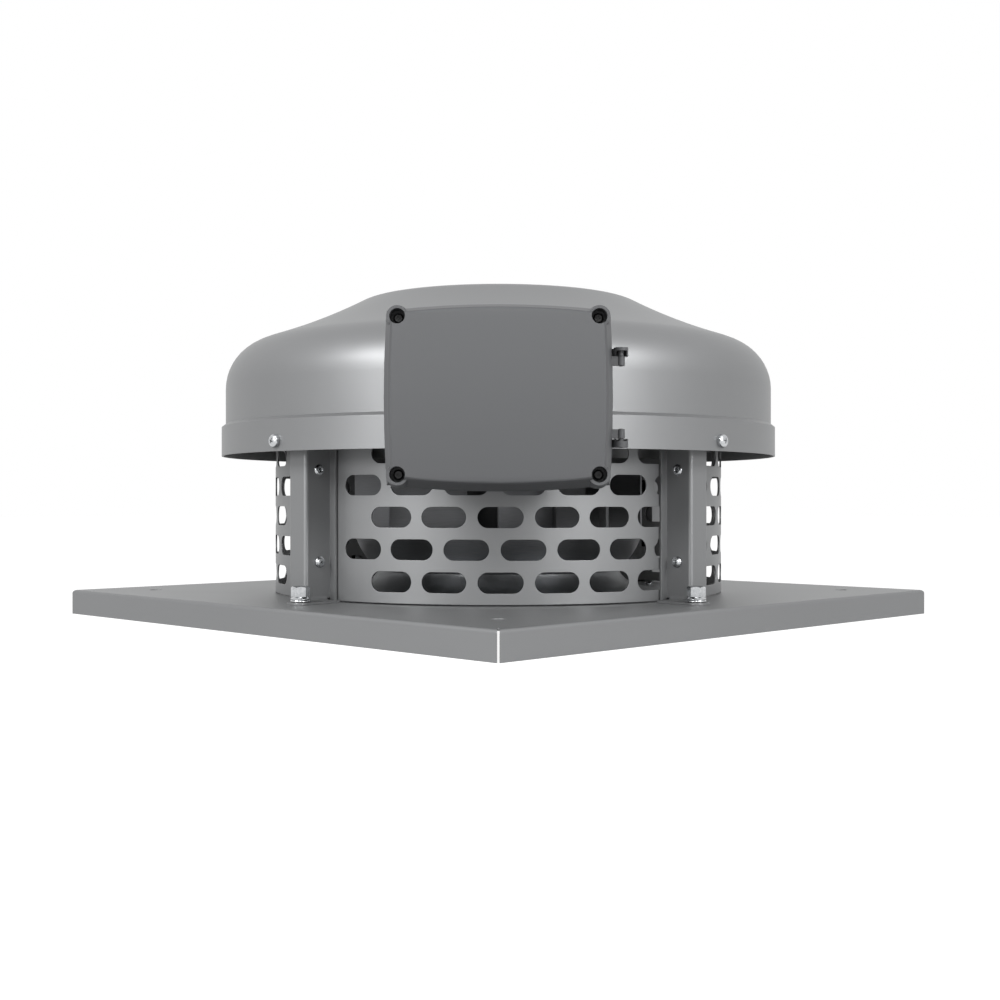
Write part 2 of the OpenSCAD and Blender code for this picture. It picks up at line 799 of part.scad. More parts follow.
module motor_plate() {
  color("#6f7072") difference() {
    union() {
      translate([0, 0, mplate_z]) cylinder(h = mplate_t, r = mplate_r);
      ring(mplate_r - mplate_t, mplate_r, mplate_rim_z, mplate_z + mplate_t / 2);
      at_every_leg() {
        translate([mplate_r - mplate_t, -arm_w / 2, mplate_z])
          cube([lug_out_r * cos(lug_half_angle) - mplate_r, arm_w, mplate_t]);
        sector(lug_out_r - mplate_t, lug_out_r, lug_z0, mplate_z + mplate_t, lug_half_angle);
        sector(mplate_r, lug_out_r, mplate_z, mplate_z + mplate_t, lug_half_angle * lug_root_share);
      }
    }
    translate([0, 0, mplate_z - cut]) cylinder(h = mplate_t + 2 * cut, r = plate_bore_r);
    for (i = [0 : 3]) rotate([0, 0, 90 * i + 45]) translate([motor_screw_circle_r, 0, mplate_z - cut])
      cylinder(h = mplate_t + 2 * cut, r = motor_hole_r);
    at_every_leg() {
      translate([head_bolt_x, 0, mplate_z - cut])
        cylinder(h = mplate_t + 2 * cut, r = m6_thread_r + hole_gap);
      translate([lug_out_r - mplate_t - cut, 0, plate_screw_z]) rotate([0, 90, 0])
        cylinder(h = mplate_t + 3 * cut, r = arm_screw_r + hole_gap);
    }
  }
}

module arm_bolts() {
  color("#b9bbbd") at_every_leg() translate([head_bolt_x, 0, mplate_z + mplate_t])
    hex_bolt(m6_hex_r, m6_hex_h, m6_thread_r, m6_bolt_l);
}

module arm_nuts() {
  color("#b9bbbd") at_every_leg() translate([head_bolt_x, 0, leg_top - leg_t - m6_nut_h])
    hex_nut(m6_hex_r, m6_nut_h, m6_thread_r);
}

// Cowl

module cowl() {
  color("#929395") difference() {
    rotate_extrude($fn = 180) polygon(concat(
      cowl_foot(0), cowl_turn(0), reversed(cowl_turn(cowl_t)), reversed(cowl_foot(cowl_t))
    ));
    at_every_leg() translate([band_r - 2 * cowl_t, 0, plate_screw_z]) rotate([0, 90, 0])
      cylinder(h = 4 * cowl_t, r = arm_screw_r + hole_gap);
    at_box() at_band_screws(band_r - 2 * cowl_t) cylinder(h = 4 * cowl_t, r = m4_thread_r + hole_gap);
  }
}

module cowl_screws() {
  color("#c9cbcd") at_every_leg() translate([band_r, 0, plate_screw_z]) rotate([0, 90, 0])
    pan_screw(cowl_head_r, cowl_head_h, arm_screw_r, cowl_screw_l);
}

// Motor

module stator_bush() {
  color("#a5a7a9") difference() {
    rotate_extrude() polygon([
      [bearing_r - bearing_shoulder, tube_z],
      [tube_r, tube_z],
      [tube_r, cover_z],
      [cover_r, cover_z],
      [cover_r, cover_z + cover_h],
      [neck_r, cover_z + 2 * cover_h],
      [neck_r, mplate_z - 2 * motor_flange_h],
      [motor_flange_r, mplate_z - motor_flange_h],
      [motor_flange_r, mplate_z],
      [bearing_r - bearing_shoulder, mplate_z]
    ]);
    ring(0, bearing_r + press_gap, tube_z - cut, lower_bearing_z + bearing_w + press_gap);
    ring(0, bearing_r + press_gap, upper_bearing_z - press_gap, mplate_z + cut);
    for (i = [0 : 3]) rotate([0, 0, 90 * i + 45])
      translate([motor_screw_circle_r, 0, mplate_z - m6_screw_l + mplate_t - cut])
        cylinder(h = m6_screw_l + 2 * cut, r = m6_thread_r + press_gap);
  }
}

module stator_core() {
  color("#5c5d60") difference() {
    ring(tube_r + press_gap, core_split_r, core_z, core_z + core_h);
    for (i = [0 : stator_slots - 1]) rotate([0, 0, i * 360 / stator_slots])
      translate([core_split_r - slot_pocket_r, 0, core_z - cut]) {
        cylinder(h = core_h + 2 * cut, r = slot_pocket_r);
        translate([0, -slot_pocket_r / 3, 0])
          cube([2 * slot_pocket_r, slot_pocket_r * 2 / 3, core_h + 2 * cut]);
      }
  }
}

module windings() {
  color("#b87333") for (z = [core_z - winding_h, core_z + core_h]) translate([0, 0, z]) rotate_extrude() {
    translate([winding_in_r + winding_h / 2, 0])
      square([winding_out_r - winding_in_r - winding_h, winding_h]);
    for (r = [winding_in_r + winding_h / 2, winding_out_r - winding_h / 2])
      translate([r, winding_h / 2]) circle(d = winding_h);
  }
}

module motor_screws() {
  color("#c9cbcd") for (i = [0 : 3]) rotate([0, 0, 90 * i + 45])
    translate([motor_screw_circle_r, 0, mplate_z + mplate_t])
      hex_bolt(m6_hex_r, m6_hex_h, m6_thread_r, m6_screw_l);
}

module ball_track(z) {
  translate([0, 0, z + bearing_w / 2]) rotate_extrude()
    translate([ball_circle_r, 0]) circle(r = ball_r + run_gap);
}

module bearing_outer_rings() {
  color("#c0c2c4") for (z = [lower_bearing_z, upper_bearing_z]) difference() {
    ring(ring_out_r, bearing_r, z, z + bearing_w);
    ball_track(z);
  }
}

module bearing_inner_rings() {
  color("#c0c2c4") for (z = [lower_bearing_z, upper_bearing_z]) difference() {
    ring(shaft_r + press_gap, ring_in_r, z, z + bearing_w);
    ball_track(z);
  }
}

module bearing_balls() {
  color("#d4d6d8") for (z = [lower_bearing_z, upper_bearing_z], i = [0 : ball_count - 1])
    rotate([0, 0, i * 360 / ball_count]) translate([ball_circle_r, 0, z + bearing_w / 2]) sphere(r = ball_r);
}

module motor_shaft() {
  color("#b4b6b8") translate([0, 0, rotor_floor + press_gap])
    cylinder(h = shaft_top - rotor_floor - press_gap, r = shaft_r);
}

module rotor_bell() {
  color("#55565a") difference() {
    rotate_extrude() polygon(concat(
      [[0, rotor_z]],
      [for (i = [0 : rotor_dome_steps])
        let (a = 90 * i / rotor_dome_steps)
        [rotor_r - rotor_dome_r + rotor_dome_r * sin(a), rotor_z + rotor_dome_r - rotor_dome_r * cos(a)]],
      [[rotor_r, back_z - collar_h], [collar_r, back_z - collar_h], [collar_r, back_z],
       [rotor_r, back_z], [rotor_r, rotor_top], [rotor_r - rotor_t, rotor_top],
       [rotor_r - rotor_t, rotor_z + rotor_dome_r],
       [rotor_r - rotor_dome_r, rotor_floor],
       [shaft_boss_r, rotor_floor], [shaft_boss_r, rotor_floor + shaft_boss_h],
       [0, rotor_floor + shaft_boss_h]]
    ));
    translate([0, 0, rotor_floor]) cylinder(h = shaft_boss_h + cut, r = shaft_r + press_gap);
    for (i = [0 : rotor_screw_count - 1]) rotate([0, 0, i * 360 / rotor_screw_count])
      translate([rotor_screw_circle_r, 0, back_z - collar_h - cut])
        cylinder(h = collar_h + 2 * cut, r = rotor_screw_r + press_gap);
  }
}

module rotor_core() {
  color("#6a6b6e") ring(core_split_r + air_gap, rotor_core_out_r, core_z, core_z + core_h);
}

module rotor_screws() {
  color("#c9cbcd") for (i = [0 : rotor_screw_count - 1]) rotate([0, 0, i * 360 / rotor_screw_count])
    translate([rotor_screw_circle_r, 0, back_z + wheel_t])
      pan_screw(rotor_head_r, rotor_head_h, rotor_screw_r, collar_h + wheel_t);
}

// Impeller

module impeller_backplate() {
  color("#85868a") difference() {
    ring(back_bore_r, back_r, back_z, back_z + wheel_t);
    for (i = [0 : rotor_screw_count - 1]) rotate([0, 0, i * 360 / rotor_screw_count])
      translate([rotor_screw_circle_r, 0, back_z - cut])
        cylinder(h = wheel_t + 2 * cut, r = rotor_screw_r + hole_gap);
  }
}

module blade_plan() {
  translate([blade_c[0], blade_c[1], 0]) rotate([0, 0, blade_out_angle])
    rotate_extrude(angle = blade_sweep) translate([blade_curve_r - blade_t / 2, eye_z])
      square([blade_t, back_z - eye_z]);
}

module impeller_blades() {
  color("#85868a") intersection() {
    at_box() for (i = [0 : blade_count - 1]) rotate([0, 0, i * 360 / blade_count]) blade_plan();
    rotate_extrude() polygon(concat(
      [[blade_in_r - 2 * blade_t, back_z], [blade_in_r - 2 * blade_t, blade_lead_z + blade_lead_drop],
       [eye_r, blade_lead_z]],
      [for (p = shroud_line(wheel_t + seat_gap)) if (p[1] > blade_lead_z) p],
      [[back_r, rim_z + wheel_t], [back_r, back_z]]
    ));
  }
}

module impeller_shroud() {
  color("#85868a") rotate_extrude() polygon(concat(
    shroud_line(0),
    [[back_r + rim_lip_w, rim_z], [back_r + rim_lip_w, rim_z + wheel_t / 2]],
    reversed(shroud_line(wheel_t))
  ));
}

// Control box

// Outline with four bowed sides, grown by d; X is the box's height and Y its width
module bowed_outline(w, h, d) {
  long_r = (pow(w / 2, 2) + pow(long_bow, 2)) / (2 * long_bow);
  short_r = (pow(h / 2, 2) + pow(short_bow, 2)) / (2 * short_bow);
  intersection_for (s = [-1, 1]) {
    intersection() {
      translate([s * (h / 2 - long_r), 0]) circle(r = long_r + d, $fn = 240);
      translate([0, s * (w / 2 - short_r)]) circle(r = short_r + d, $fn = 240);
    }
  }
}

module posts_outline(r) {
  for (sx = [-1, 1], sz = [-1, 1])
    translate([sz * well_spacing_h / 2, sx * well_spacing_w / 2]) circle(r = r);
}

// The dry corners: a screw post and everything between it and the rim
module corners_outline(r) {
  posts_outline(r);
  for (sx = [-1, 1], sz = [-1, 1])
    translate([sz * well_spacing_h / 2, sx * well_spacing_w / 2]) {
      translate([sz * (post_corner - r) / 2, sx * post_corner / 2])
        square([post_corner + r, post_corner], center = true);
      translate([sz * post_corner / 2, sx * (post_corner - r) / 2])
        square([post_corner, post_corner + r], center = true);
    }
}

// Turns a drawing in (height, width) so that it is extruded away from the fan
module stand_up() {
  translate([0, 0, box_mid_z]) rotate([0, 90, 0]) mirror([1, 0, 0]) children();
}

module rim_outline(d) {
  bowed_outline(lid_rim_w, lid_rim_h, d);
  posts_outline(post_rim_r + d);
}

module box_body() {
  color("#5d6064") at_box() difference() {
    union() {
      difference() {
        translate([box_back, 0, 0]) stand_up() linear_extrude(height = box_body_d) rim_outline(-rim_inset);
        translate([box_back + box_t, 0, 0]) stand_up() linear_extrude(height = box_body_d)
          bowed_outline(lid_rim_w, lid_rim_h, -rim_inset - box_t);
      }
      translate([box_back, 0, 0]) stand_up() linear_extrude(height = box_body_d)
        posts_outline(boss_r + box_t);
      for (s = [-1, 1]) hinge_lug(s);
      at_board_holes(box_back + box_t / 2) cylinder(h = box_t / 2 + board_gap, r = post_r);
    }
    at_board_holes(box_back + box_t) cylinder(h = board_gap + cut, r = board_screw_r + press_gap);
    at_wells() on_box(box_back + box_t) cylinder(h = box_body_d, r = lid_screw_r + press_gap);
    for (s = [-1, 1]) on_box(box_back - cut, s * gland_x, gland_z)
      cylinder(h = box_t + 2 * cut, r = gland_thread_r + press_gap);
    at_box_screws(box_back - cut) cylinder(h = box_t + 2 * cut, r = m4_thread_r + hole_gap);
  }
}

module lug_outline() {
  translate([hinge_v, hinge_x]) circle(r = lug_r);
  polygon([
    [lug_root_v, lid_rim_w / 2 - rim_inset - box_t],
    [lug_root_v + lug_root_w, lid_rim_w / 2 - rim_inset - box_t],
    [hinge_v - lug_r * cos(lug_flank_angle), hinge_x - lug_r * sin(lug_flank_angle)],
    [hinge_v, hinge_x + lug_r],
    [hinge_v - lug_root_w, hinge_x + lug_r]
  ]);
}

// The hollow round the pin's boss, open to the front
module lug_hollow() {
  translate([hinge_v, hinge_x]) difference() {
    union() {
      circle(r = lug_r - lug_wall);
      translate([0, lug_wall - lug_r]) square([lug_r + cut, 2 * (lug_r - lug_wall)]);
    }
    circle(r = hinge_pin_r + lug_boss_w);
  }
}

// Lugs stand beyond the knuckles, one above and one below, and are hollow on the knuckle's side
module hinge_lug(s) {
  z0 = s > 0 ? box_mid_z + hinge_h + seat_gap / 2 : box_mid_z - hinge_h - seat_gap / 2 - lug_h;
  hollow_h = s > 0 ? lug_h - lug_cap_h : lug_notch_h;
  hollow_z = s > 0 ? z0 - cut : z0 + lug_h - hollow_h;
  difference() {
    translate([0, 0, z0]) linear_extrude(height = lug_h) difference() {
      lug_outline();
      translate([hinge_v, hinge_x]) circle(r = hinge_pin_r + press_gap);
    }
    translate([0, 0, hollow_z]) linear_extrude(height = hollow_h + cut) lug_hollow();
  }
}

module knuckle(s) {
  z0 = s > 0 ? box_mid_z + hinge_h - seat_gap / 2 - knuckle_h : box_mid_z - hinge_h + seat_gap / 2;
  translate([0, 0, z0]) linear_extrude(height = knuckle_h) {
    translate([hinge_v, hinge_x]) circle(r = knuckle_r);
    translate([hinge_v - knuckle_web_w / 2, lid_rim_w / 2 - box_t / 2 - short_bow])
      square([knuckle_web_w, hinge_x - lid_rim_w / 2 + box_t / 2 + short_bow]);
  }
}

// Lid body from the rim to the rounded front edge, grown by d
module lid_mass(d, front) {
  hull() {
    translate([lid_back, 0, 0]) stand_up() linear_extrude(height = slab)
      bowed_outline(lid_rim_w, lid_rim_h, d);
    for (i = [0 : lid_edge_steps])
      let (a = 90 * i / lid_edge_steps)
      translate([front - lid_edge_r + lid_edge_r * sin(a) - slab, 0, 0]) stand_up()
        linear_extrude(height = slab) bowed_outline(lid_face_w, lid_face_h, d - lid_edge_r * (1 - cos(a)));
    intersection() {
      translate([front - lid_edge_r, 0, 0]) stand_up() linear_extrude(height = lid_edge_r + lid_crown)
        bowed_outline(lid_face_w, lid_face_h, d - lid_edge_r);
      translate([front + lid_crown - crown_r, 0, box_mid_z]) rotate([90, 0, 0])
        cylinder(h = lid_rim_w, r = crown_r, center = true, $fn = 360);
    }
  }
}

module box_lid() {
  color("#66696d") at_box() difference() {
    union() {
      difference() {
        lid_mass(0, lid_front);
        translate([-slab, 0, 0]) lid_mass(-box_t, lid_front - box_t);
      }
      at_wells() on_box(lid_back)
        cylinder(h = lid_d - post_front_drop, r1 = post_rim_r, r2 = post_face_r);
      for (s = [-1, 1]) knuckle(s);
    }
    at_wells() on_box(lid_front - well_d) cylinder(h = well_d + lid_crown + cut, r = well_r);
    at_wells() on_box(lid_back - cut) cylinder(h = lid_d, r = lid_screw_r + hole_gap);
    translate([hinge_v, hinge_x, box_mid_z])
      cylinder(h = 4 * hinge_h, r = hinge_pin_r + run_gap, center = true);
  }
}

module lid_gasket() {
  color("#2b2c2e") at_box() translate([box_front, 0, 0]) stand_up() linear_extrude(height = gasket_t)
    difference() {
      intersection() {
        bowed_outline(lid_rim_w, lid_rim_h, -2 * rim_inset);
        union() {
          difference() {
            square([lid_rim_h, lid_rim_w], center = true);
            bowed_outline(lid_rim_w, lid_rim_h, -2 * rim_inset - gasket_w);
          }
          corners_outline(post_seal_r + gasket_w);
        }
      }
      corners_outline(post_seal_r);
    }
}

module lid_screws() {
  color("#8f9193") at_box() at_wells() on_box(lid_front - well_d)
    pan_screw(lid_screw_head_r, lid_screw_head_h, lid_screw_r, lid_screw_l);
}

module hinge_pins() {
  color("#3a3b3d") at_box() for (s = [-1, 1])
    translate([hinge_v, hinge_x, box_mid_z + s * (hinge_h + (lug_h - knuckle_h) / 2)])
      cylinder(h = lug_h + knuckle_h + 2 * pin_over, r = hinge_pin_r, center = true);
}

module box_bracket() {
  color("#7f8082") at_box() difference() {
    union() {
      translate([bracket_v, -bracket_half_w, bracket_z0])
        cube([bracket_t, 2 * bracket_half_w, bracket_z1 - bracket_z0]);
      sector(strap_r, strap_r + bracket_t, strap_z0, strap_z1, strap_half_angle);
      for (s = [-1, 1])
        translate([gusset_v, s * (bracket_half_w - bracket_t / 2) - bracket_t / 2, strap_z0])
          cube([bracket_v - gusset_v + bracket_t / 2, bracket_t, strap_z1 - strap_z0]);
    }
    at_band_screws(strap_r - cut) cylinder(h = bracket_t + 2 * cut, r = m4_thread_r + hole_gap);
    at_band_screws(strap_r + bracket_t) cylinder(h = 2 * m4_head_h, r = m4_head_r + hole_gap);
    at_box_screws(bracket_v - cut) cylinder(h = bracket_t + 2 * cut, r = m4_thread_r + press_gap);
  }
}

module band_screws() {
  color("#c9cbcd") at_box() at_band_screws(strap_r + bracket_t)
    pan_screw(m4_head_r, m4_head_h, m4_thread_r, m4_screw_l);
}

module box_screws() {
  color("#c9cbcd") at_box() at_box_screws(box_back + box_t)
    pan_screw(m4_head_r, m4_head_h, m4_thread_r, m4_screw_l);
}

module cable_glands() {
  color("#3f4144") at_box() for (s = [-1, 1])
    translate([box_back, s * gland_x, gland_z]) rotate([0, -90, 0]) difference() {
      union() {
        cylinder(h = gland_hex_h, r = gland_hex_r, $fn = 6);
        cylinder(h = gland_dome_h, r = gland_dome_r);
        translate([0, 0, gland_dome_h])
          cylinder(h = gland_hex_h, r1 = gland_dome_r, r2 = gland_bore_r + box_t);
        translate([0, 0, -gland_in_l]) cylinder(h = gland_in_l + cut, r = gland_thread_r);
        translate([0, 0, -box_t - gland_nut_h]) cylinder(h = gland_nut_h, r = gland_hex_r, $fn = 6);
      }
      translate([0, 0, -gland_in_l - cut])
        cylinder(h = gland_in_l + gland_dome_h + gland_hex_h + 2 * cut, r = gland_bore_r);
    }
}

module circuit_board() {
  color("#2f5d3a") at_box() difference() {
    translate([board_v, -board_w / 2, board_z - board_h / 2]) cube([board_t, board_w, board_h]);
    at_board_holes(board_v - cut) cylinder(h = board_t + 2 * cut, r = board_screw_r + hole_gap);
  }
}

module board_screws() {
  color("#c9cbcd") at_box() at_board_holes(board_v + board_t)
    pan_screw(board_head_r, board_head_h, board_screw_r, board_screw_l, board_drive_r);
}

module board_parts() {
  top = board_v + board_t;
  color("#33353a") at_box() {
    on_box(top, -capacitor_x, board_z) cylinder(h = capacitor_h, r = capacitor_r);
    on_box(top, -filter_cap_x, board_z + filter_cap_rise) cylinder(h = filter_cap_h, r = filter_cap_r);
    translate([top, relay_x, board_z - relay_drop]) cube([relay_d, relay_w, relay_h]);
  }
}

module terminal_block() {
  way = terminal_w / terminal_ways;
  color("#b8babc") at_box() difference() {
    translate([box_back + box_t, -terminal_w / 2, terminal_z]) cube([terminal_d, terminal_w, terminal_h]);
    for (i = [0 : terminal_ways - 1])
      on_box(box_back + box_t + terminal_d - terminal_screw_d, -terminal_w / 2 + (i + 0.5) * way,
             terminal_z + terminal_h * terminal_screw_share)
        cylinder(h = terminal_screw_d + cut, r = terminal_screw_r);
  }
}

base_plate();
inlet_nozzle();
nozzle_screws();
bird_guard();
leg_front_left();
leg_front_right();
leg_back_right();
leg_back_left();
foot_bolts();
foot_washers();
foot_nuts();
guard_rails();
leg_screws();
leg_rivets();
motor_plate();
arm_bolts();
arm_nuts();
cowl();
cowl_screws();
stator_bush();
stator_core();
windings();
motor_screws();
bearing_outer_rings();
bearing_balls();
bearing_inner_rings();
motor_shaft();
rotor_bell();
rotor_core();
rotor_screws();
impeller_backplate();
impeller_blades();
impeller_shroud();
box_bracket();
band_screws();
box_screws();
box_body();
cable_glands();
circuit_board();
board_screws();
board_parts();
terminal_block();
lid_gasket();
box_lid();
lid_screws();
hinge_pins();
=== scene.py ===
import json
import math

import bmesh
import bpy
from mathutils import Matrix, Vector


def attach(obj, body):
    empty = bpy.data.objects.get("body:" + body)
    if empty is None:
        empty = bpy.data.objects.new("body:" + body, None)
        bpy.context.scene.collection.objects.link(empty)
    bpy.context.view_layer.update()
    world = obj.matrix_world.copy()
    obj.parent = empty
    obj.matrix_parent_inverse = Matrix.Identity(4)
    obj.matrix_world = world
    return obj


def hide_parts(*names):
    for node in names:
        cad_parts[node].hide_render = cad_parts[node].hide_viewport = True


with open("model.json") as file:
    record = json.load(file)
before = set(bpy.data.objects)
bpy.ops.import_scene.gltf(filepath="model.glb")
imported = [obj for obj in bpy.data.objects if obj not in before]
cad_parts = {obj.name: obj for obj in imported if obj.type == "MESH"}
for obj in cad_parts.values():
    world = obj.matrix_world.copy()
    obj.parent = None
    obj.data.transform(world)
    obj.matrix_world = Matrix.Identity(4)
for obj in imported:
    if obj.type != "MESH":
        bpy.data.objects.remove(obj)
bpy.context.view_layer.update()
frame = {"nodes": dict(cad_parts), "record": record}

bl_info = {
    "name": "Roof fan finishes",
    "version": (1, 0, 0),
    "blender": (4, 5, 0),
    "location": "View3D > Sidebar > Roof fan",
    "description": "Finishes, fasteners and studio of a centrifugal roof fan",
    "category": "Object",
}

MM = 0.001

# The control box faces between +X and -Y, and the camera looks at it square on.
BOX_ANGLE = math.radians(-45)

# The photo is square, and the fan's axis stands a little left of its middle column.
PHOTO_SIDE = 1000
AXIS_COLUMN = 498.35

# Points nearer than the first are one point, and strips of a skin nearer than the second are one skin.
SAME_POINT = 0.001 * MM
SAME_SKIN = 0.002 * MM

# Edges that turn further than this stay sharp, on the pieces made here and on the skins of the CAD part.
PIECE_CREASE = math.radians(32)
SKIN_CREASE = math.radians(30)

# A wave texture of scale 1 runs through this many radians in a metre.
WAVE_RATE = 20

# In a turned form's profile this radius stands for the side of a hexagon. A corner comes each 12 segments.
HEXAGON = 1.0
HEX_SEGMENTS = 72

# The corners of a square, in order round it, and the faces of a block between a lower and an upper square
SQUARE = ((-1, -1), (1, -1), (1, 1), (-1, 1))
BLOCK_FACES = ((0, 3, 2, 1), (4, 5, 6, 7), (0, 1, 5, 4), (1, 2, 6, 5), (2, 3, 7, 6), (3, 0, 4, 7))

# Materials that made pieces use as well as CAD nodes
ZINC = "Zinc_plated_steel_bright"
RUBBER = "Rubber_EPDM_moulded"
ALUMINIUM = "Aluminium_die_cast"
BLACK_POLYAMIDE = "Polyamide_moulded"
PALE_POLYAMIDE = "Polyamide_pale_moulded"
BLACK_PBT = "PBT_moulded"


def linear(code):
    """A hex colour of the sRGB kind as linear red, green, blue and alpha."""
    parts = [int(code.lstrip("#")[i : i + 2], 16) / 255 for i in (0, 2, 4)]
    return tuple(c / 12.92 if c <= 0.04045 else ((c + 0.055) / 1.055) ** 2.4 for c in parts) + (1.0,)


def toward(azimuth, elevation, distance):
    """The point at a distance from the fan's axis, azimuth to the right of the control box's front."""
    a = BOX_ANGLE + azimuth
    flat = distance * math.cos(elevation)
    return Vector((flat * math.cos(a), flat * math.sin(a), distance * math.sin(elevation)))


# Materials


def add(tree, kind, values=None, links=None, **settings):
    """Adds a node with its settings, its constant inputs and its incoming links."""
    made = tree.nodes.new(kind)
    for key, value in settings.items():
        setattr(made, key, value)
    for socket, value in (values or {}).items():
        made.inputs[socket].default_value = value
    for socket, source in (links or {}).items():
        tree.links.new(source, made.inputs[socket])
    return made


def begin(name):
    """A new material with an empty tree, and the tree's object coordinates in metres."""
    material = bpy.data.materials.new(name)
    material.use_nodes = True
    tree = material.node_tree
    tree.nodes.clear()
    place = add(tree, "ShaderNodeTexCoord").outputs["Object"]
    return material, tree, place


def surface(tree, constants, patterns):
    """Ends a material: what is constant and what varies meet in its shader, which goes to the output."""
    shader = add(tree, "ShaderNodeBsdfPrincipled", constants, patterns)
    add(tree, "ShaderNodeOutputMaterial", links={"Surface": shader.outputs[0]})


def tones(colours, stem):
    """The dark and the light tone of a finish."""
    return getattr(colours, stem + "_dark"), getattr(colours, stem + "_light")


def varied(tree, pattern, both_tones, rough=None):
    """What a pattern of 0 to 1 gives a shader: a colour between two tones, and a roughness in a range."""
    dark, light = both_tones
    tint = add(
        tree,
        "ShaderNodeMix",
        {"A": linear(dark), "B": linear(light)},
        {"Factor": pattern},
        data_type="RGBA",
    )
    links = {"Base Color": tint.outputs["Result"]}
    if rough:
        span = add(tree, "ShaderNodeMapRange", {"To Min": rough[0], "To Max": rough[1]}, {"Value": pattern})
        links["Roughness"] = span.outputs["Result"]
    return links


def cloudy(tree, place, both_tones, patch, rough):
    """Soft patches of two tones and of more or less sheen, with their size in metres."""
    cloud = add(tree, "ShaderNodeTexNoise", {"Scale": 1 / patch, "Detail": 3.0}, {"Vector": place})
    return varied(tree, cloud.outputs["Fac"], both_tones, rough)


def relief(tree, place, grain, height, edge_r=None):
    """The normal of a fine random relief, on edges that a coat or a mould rounds where a radius is given."""
    bumps = add(tree, "ShaderNodeTexNoise", {"Scale": 1 / grain, "Detail": 2.0}, {"Vector": place})
    links = {"Height": bumps.outputs["Fac"]}
    if edge_r:
        edges = add(tree, "ShaderNodeBevel", {"Radius": edge_r}, samples=6)
        links["Normal"] = edges.outputs["Normal"]
    return add(tree, "ShaderNodeBump", {"Strength": 0.3, "Distance": height}, links).outputs["Normal"]


def powder_coat(colours):
    # Grey polyester powder with metal flake, sprayed and baked: a satin sheet whose highlights spread
    # wide and soft over the cowl, with a faint orange peel close up.
    material, tree, place = begin("Powder_coat_grey_satin")
    looks = cloudy(tree, place, tones(colours, "coat"), 60 * MM, (0.43, 0.47))
    looks["Normal"] = relief(tree, place, 1.4 * MM, 0.02 * MM, 0.5 * MM)
    surface(tree, {"Metallic": 0.6, "IOR": 1.5}, looks)
    return material


def galvanised(colours):
    # Hot-dip galvanised sheet, rolled: pale grey with faint crystal patches.
    material, tree, place = begin("Galvanised_sheet_rolled")
    crystals = add(tree, "ShaderNodeTexVoronoi", {"Scale": 1 / (9 * MM)}, {"Vector": place})
    looks = varied(tree, crystals.outputs["Color"], tones(colours, "zinc"), (0.34, 0.46))
    surface(tree, {"Metallic": 1.0}, looks)
    return material


def zinc_plate(colours):
    # Bright zinc plate on turned and cold-headed steel: small sharp glints on the fasteners.
    material, tree, place = begin(ZINC)
    looks = cloudy(tree, place, tones(colours, "plate"), 2.5 * MM, (0.16, 0.3))
    surface(tree, {"Metallic": 1.0}, looks)
    return material


def rubber(colours):
    # Black EPDM rubber, moulded: a dull dark line under the bolts and round the lid.
    material, tree, place = begin(RUBBER)
    looks = cloudy(tree, place, tones(colours, "rubber"), 4 * MM, (0.7, 0.85))
    surface(tree, {"IOR": 1.5}, looks)
    return material


def cast_aluminium(colours):
    # Die-cast aluminium: a pale dull bush with a fine cast grain, and the bare tops of the capacitors.
    material, tree, place = begin(ALUMINIUM)
    looks = cloudy(tree, place, tones(colours, "cast"), 8 * MM, (0.42, 0.55))
    looks["Normal"] = relief(tree, place, 0.6 * MM, 0.03 * MM)
    surface(tree, {"Metallic": 1.0}, looks)
    return material


def laminations(colours):
    # Stacked electrical sheets of 0.5 mm: level lines round the motor's cores. The real lines are too fine
    # to show, so they are drawn about six times as far apart.
    material, tree, place = begin("Electrical_sheet_stacked")
    bands = add(
        tree,
        "ShaderNodeTexWave",
        {"Scale": 1 / (WAVE_RATE * 0.5 * MM)},
        {"Vector": place},
        bands_direction="Z",
        wave_profile="TRI",
    )
    looks = varied(tree, bands.outputs["Fac"], tones(colours, "core"))
    surface(tree, {"Metallic": 1.0, "Roughness": 0.5}, looks)
    return material


def winding_wire(colours):
    # Enamelled copper wire of 0.8 mm, wound: glossy brown turns on the end of the stator, with a painted
    # shade in the grooves between turns and a painted highlight on their crests. The real turns are too fine
    # to show, so they are drawn about six times as thick.
    material, tree, place = begin("Copper_wire_enamelled_wound")
    turns = add(
        tree,
        "ShaderNodeTexWave",
        {"Scale": 1 / (WAVE_RATE * 0.8 * MM), "Distortion": 1.0},
        {"Vector": place},
        wave_type="RINGS",
        rings_direction="Z",
    ).outputs["Fac"]
    bump = add(tree, "ShaderNodeBump", {"Strength": 0.6, "Distance": 0.2 * MM}, {"Height": turns})
    # Painted shade and highlight: the colour follows the relief, dark in the grooves and light on the
    # crests.
    looks = varied(tree, turns, tones(colours, "wire"))
    looks["Normal"] = bump.outputs["Normal"]
    surface(tree, {"Roughness": 0.28, "IOR": 1.5, "Coat Weight": 0.5}, looks)
    return material


def ground_steel(colours):
    # Hardened bearing steel, ground: bright rings, balls and shaft.
    material, tree, place = begin("Bearing_steel_ground")
    looks = cloudy(tree, place, tones(colours, "steel"), 3 * MM, (0.14, 0.24))
    surface(tree, {"Metallic": 1.0}, looks)
    return material


def rotor_paint(colours):
    # Black cathodic dip on the motor's rotor bell: dark satin seen through the slots.
    material, tree, place = begin("Dip_paint_black_satin")
    looks = cloudy(tree, place, tones(colours, "rotor"), 20 * MM, (0.4, 0.5))
    surface(tree, {"IOR": 1.5}, looks)
    return material


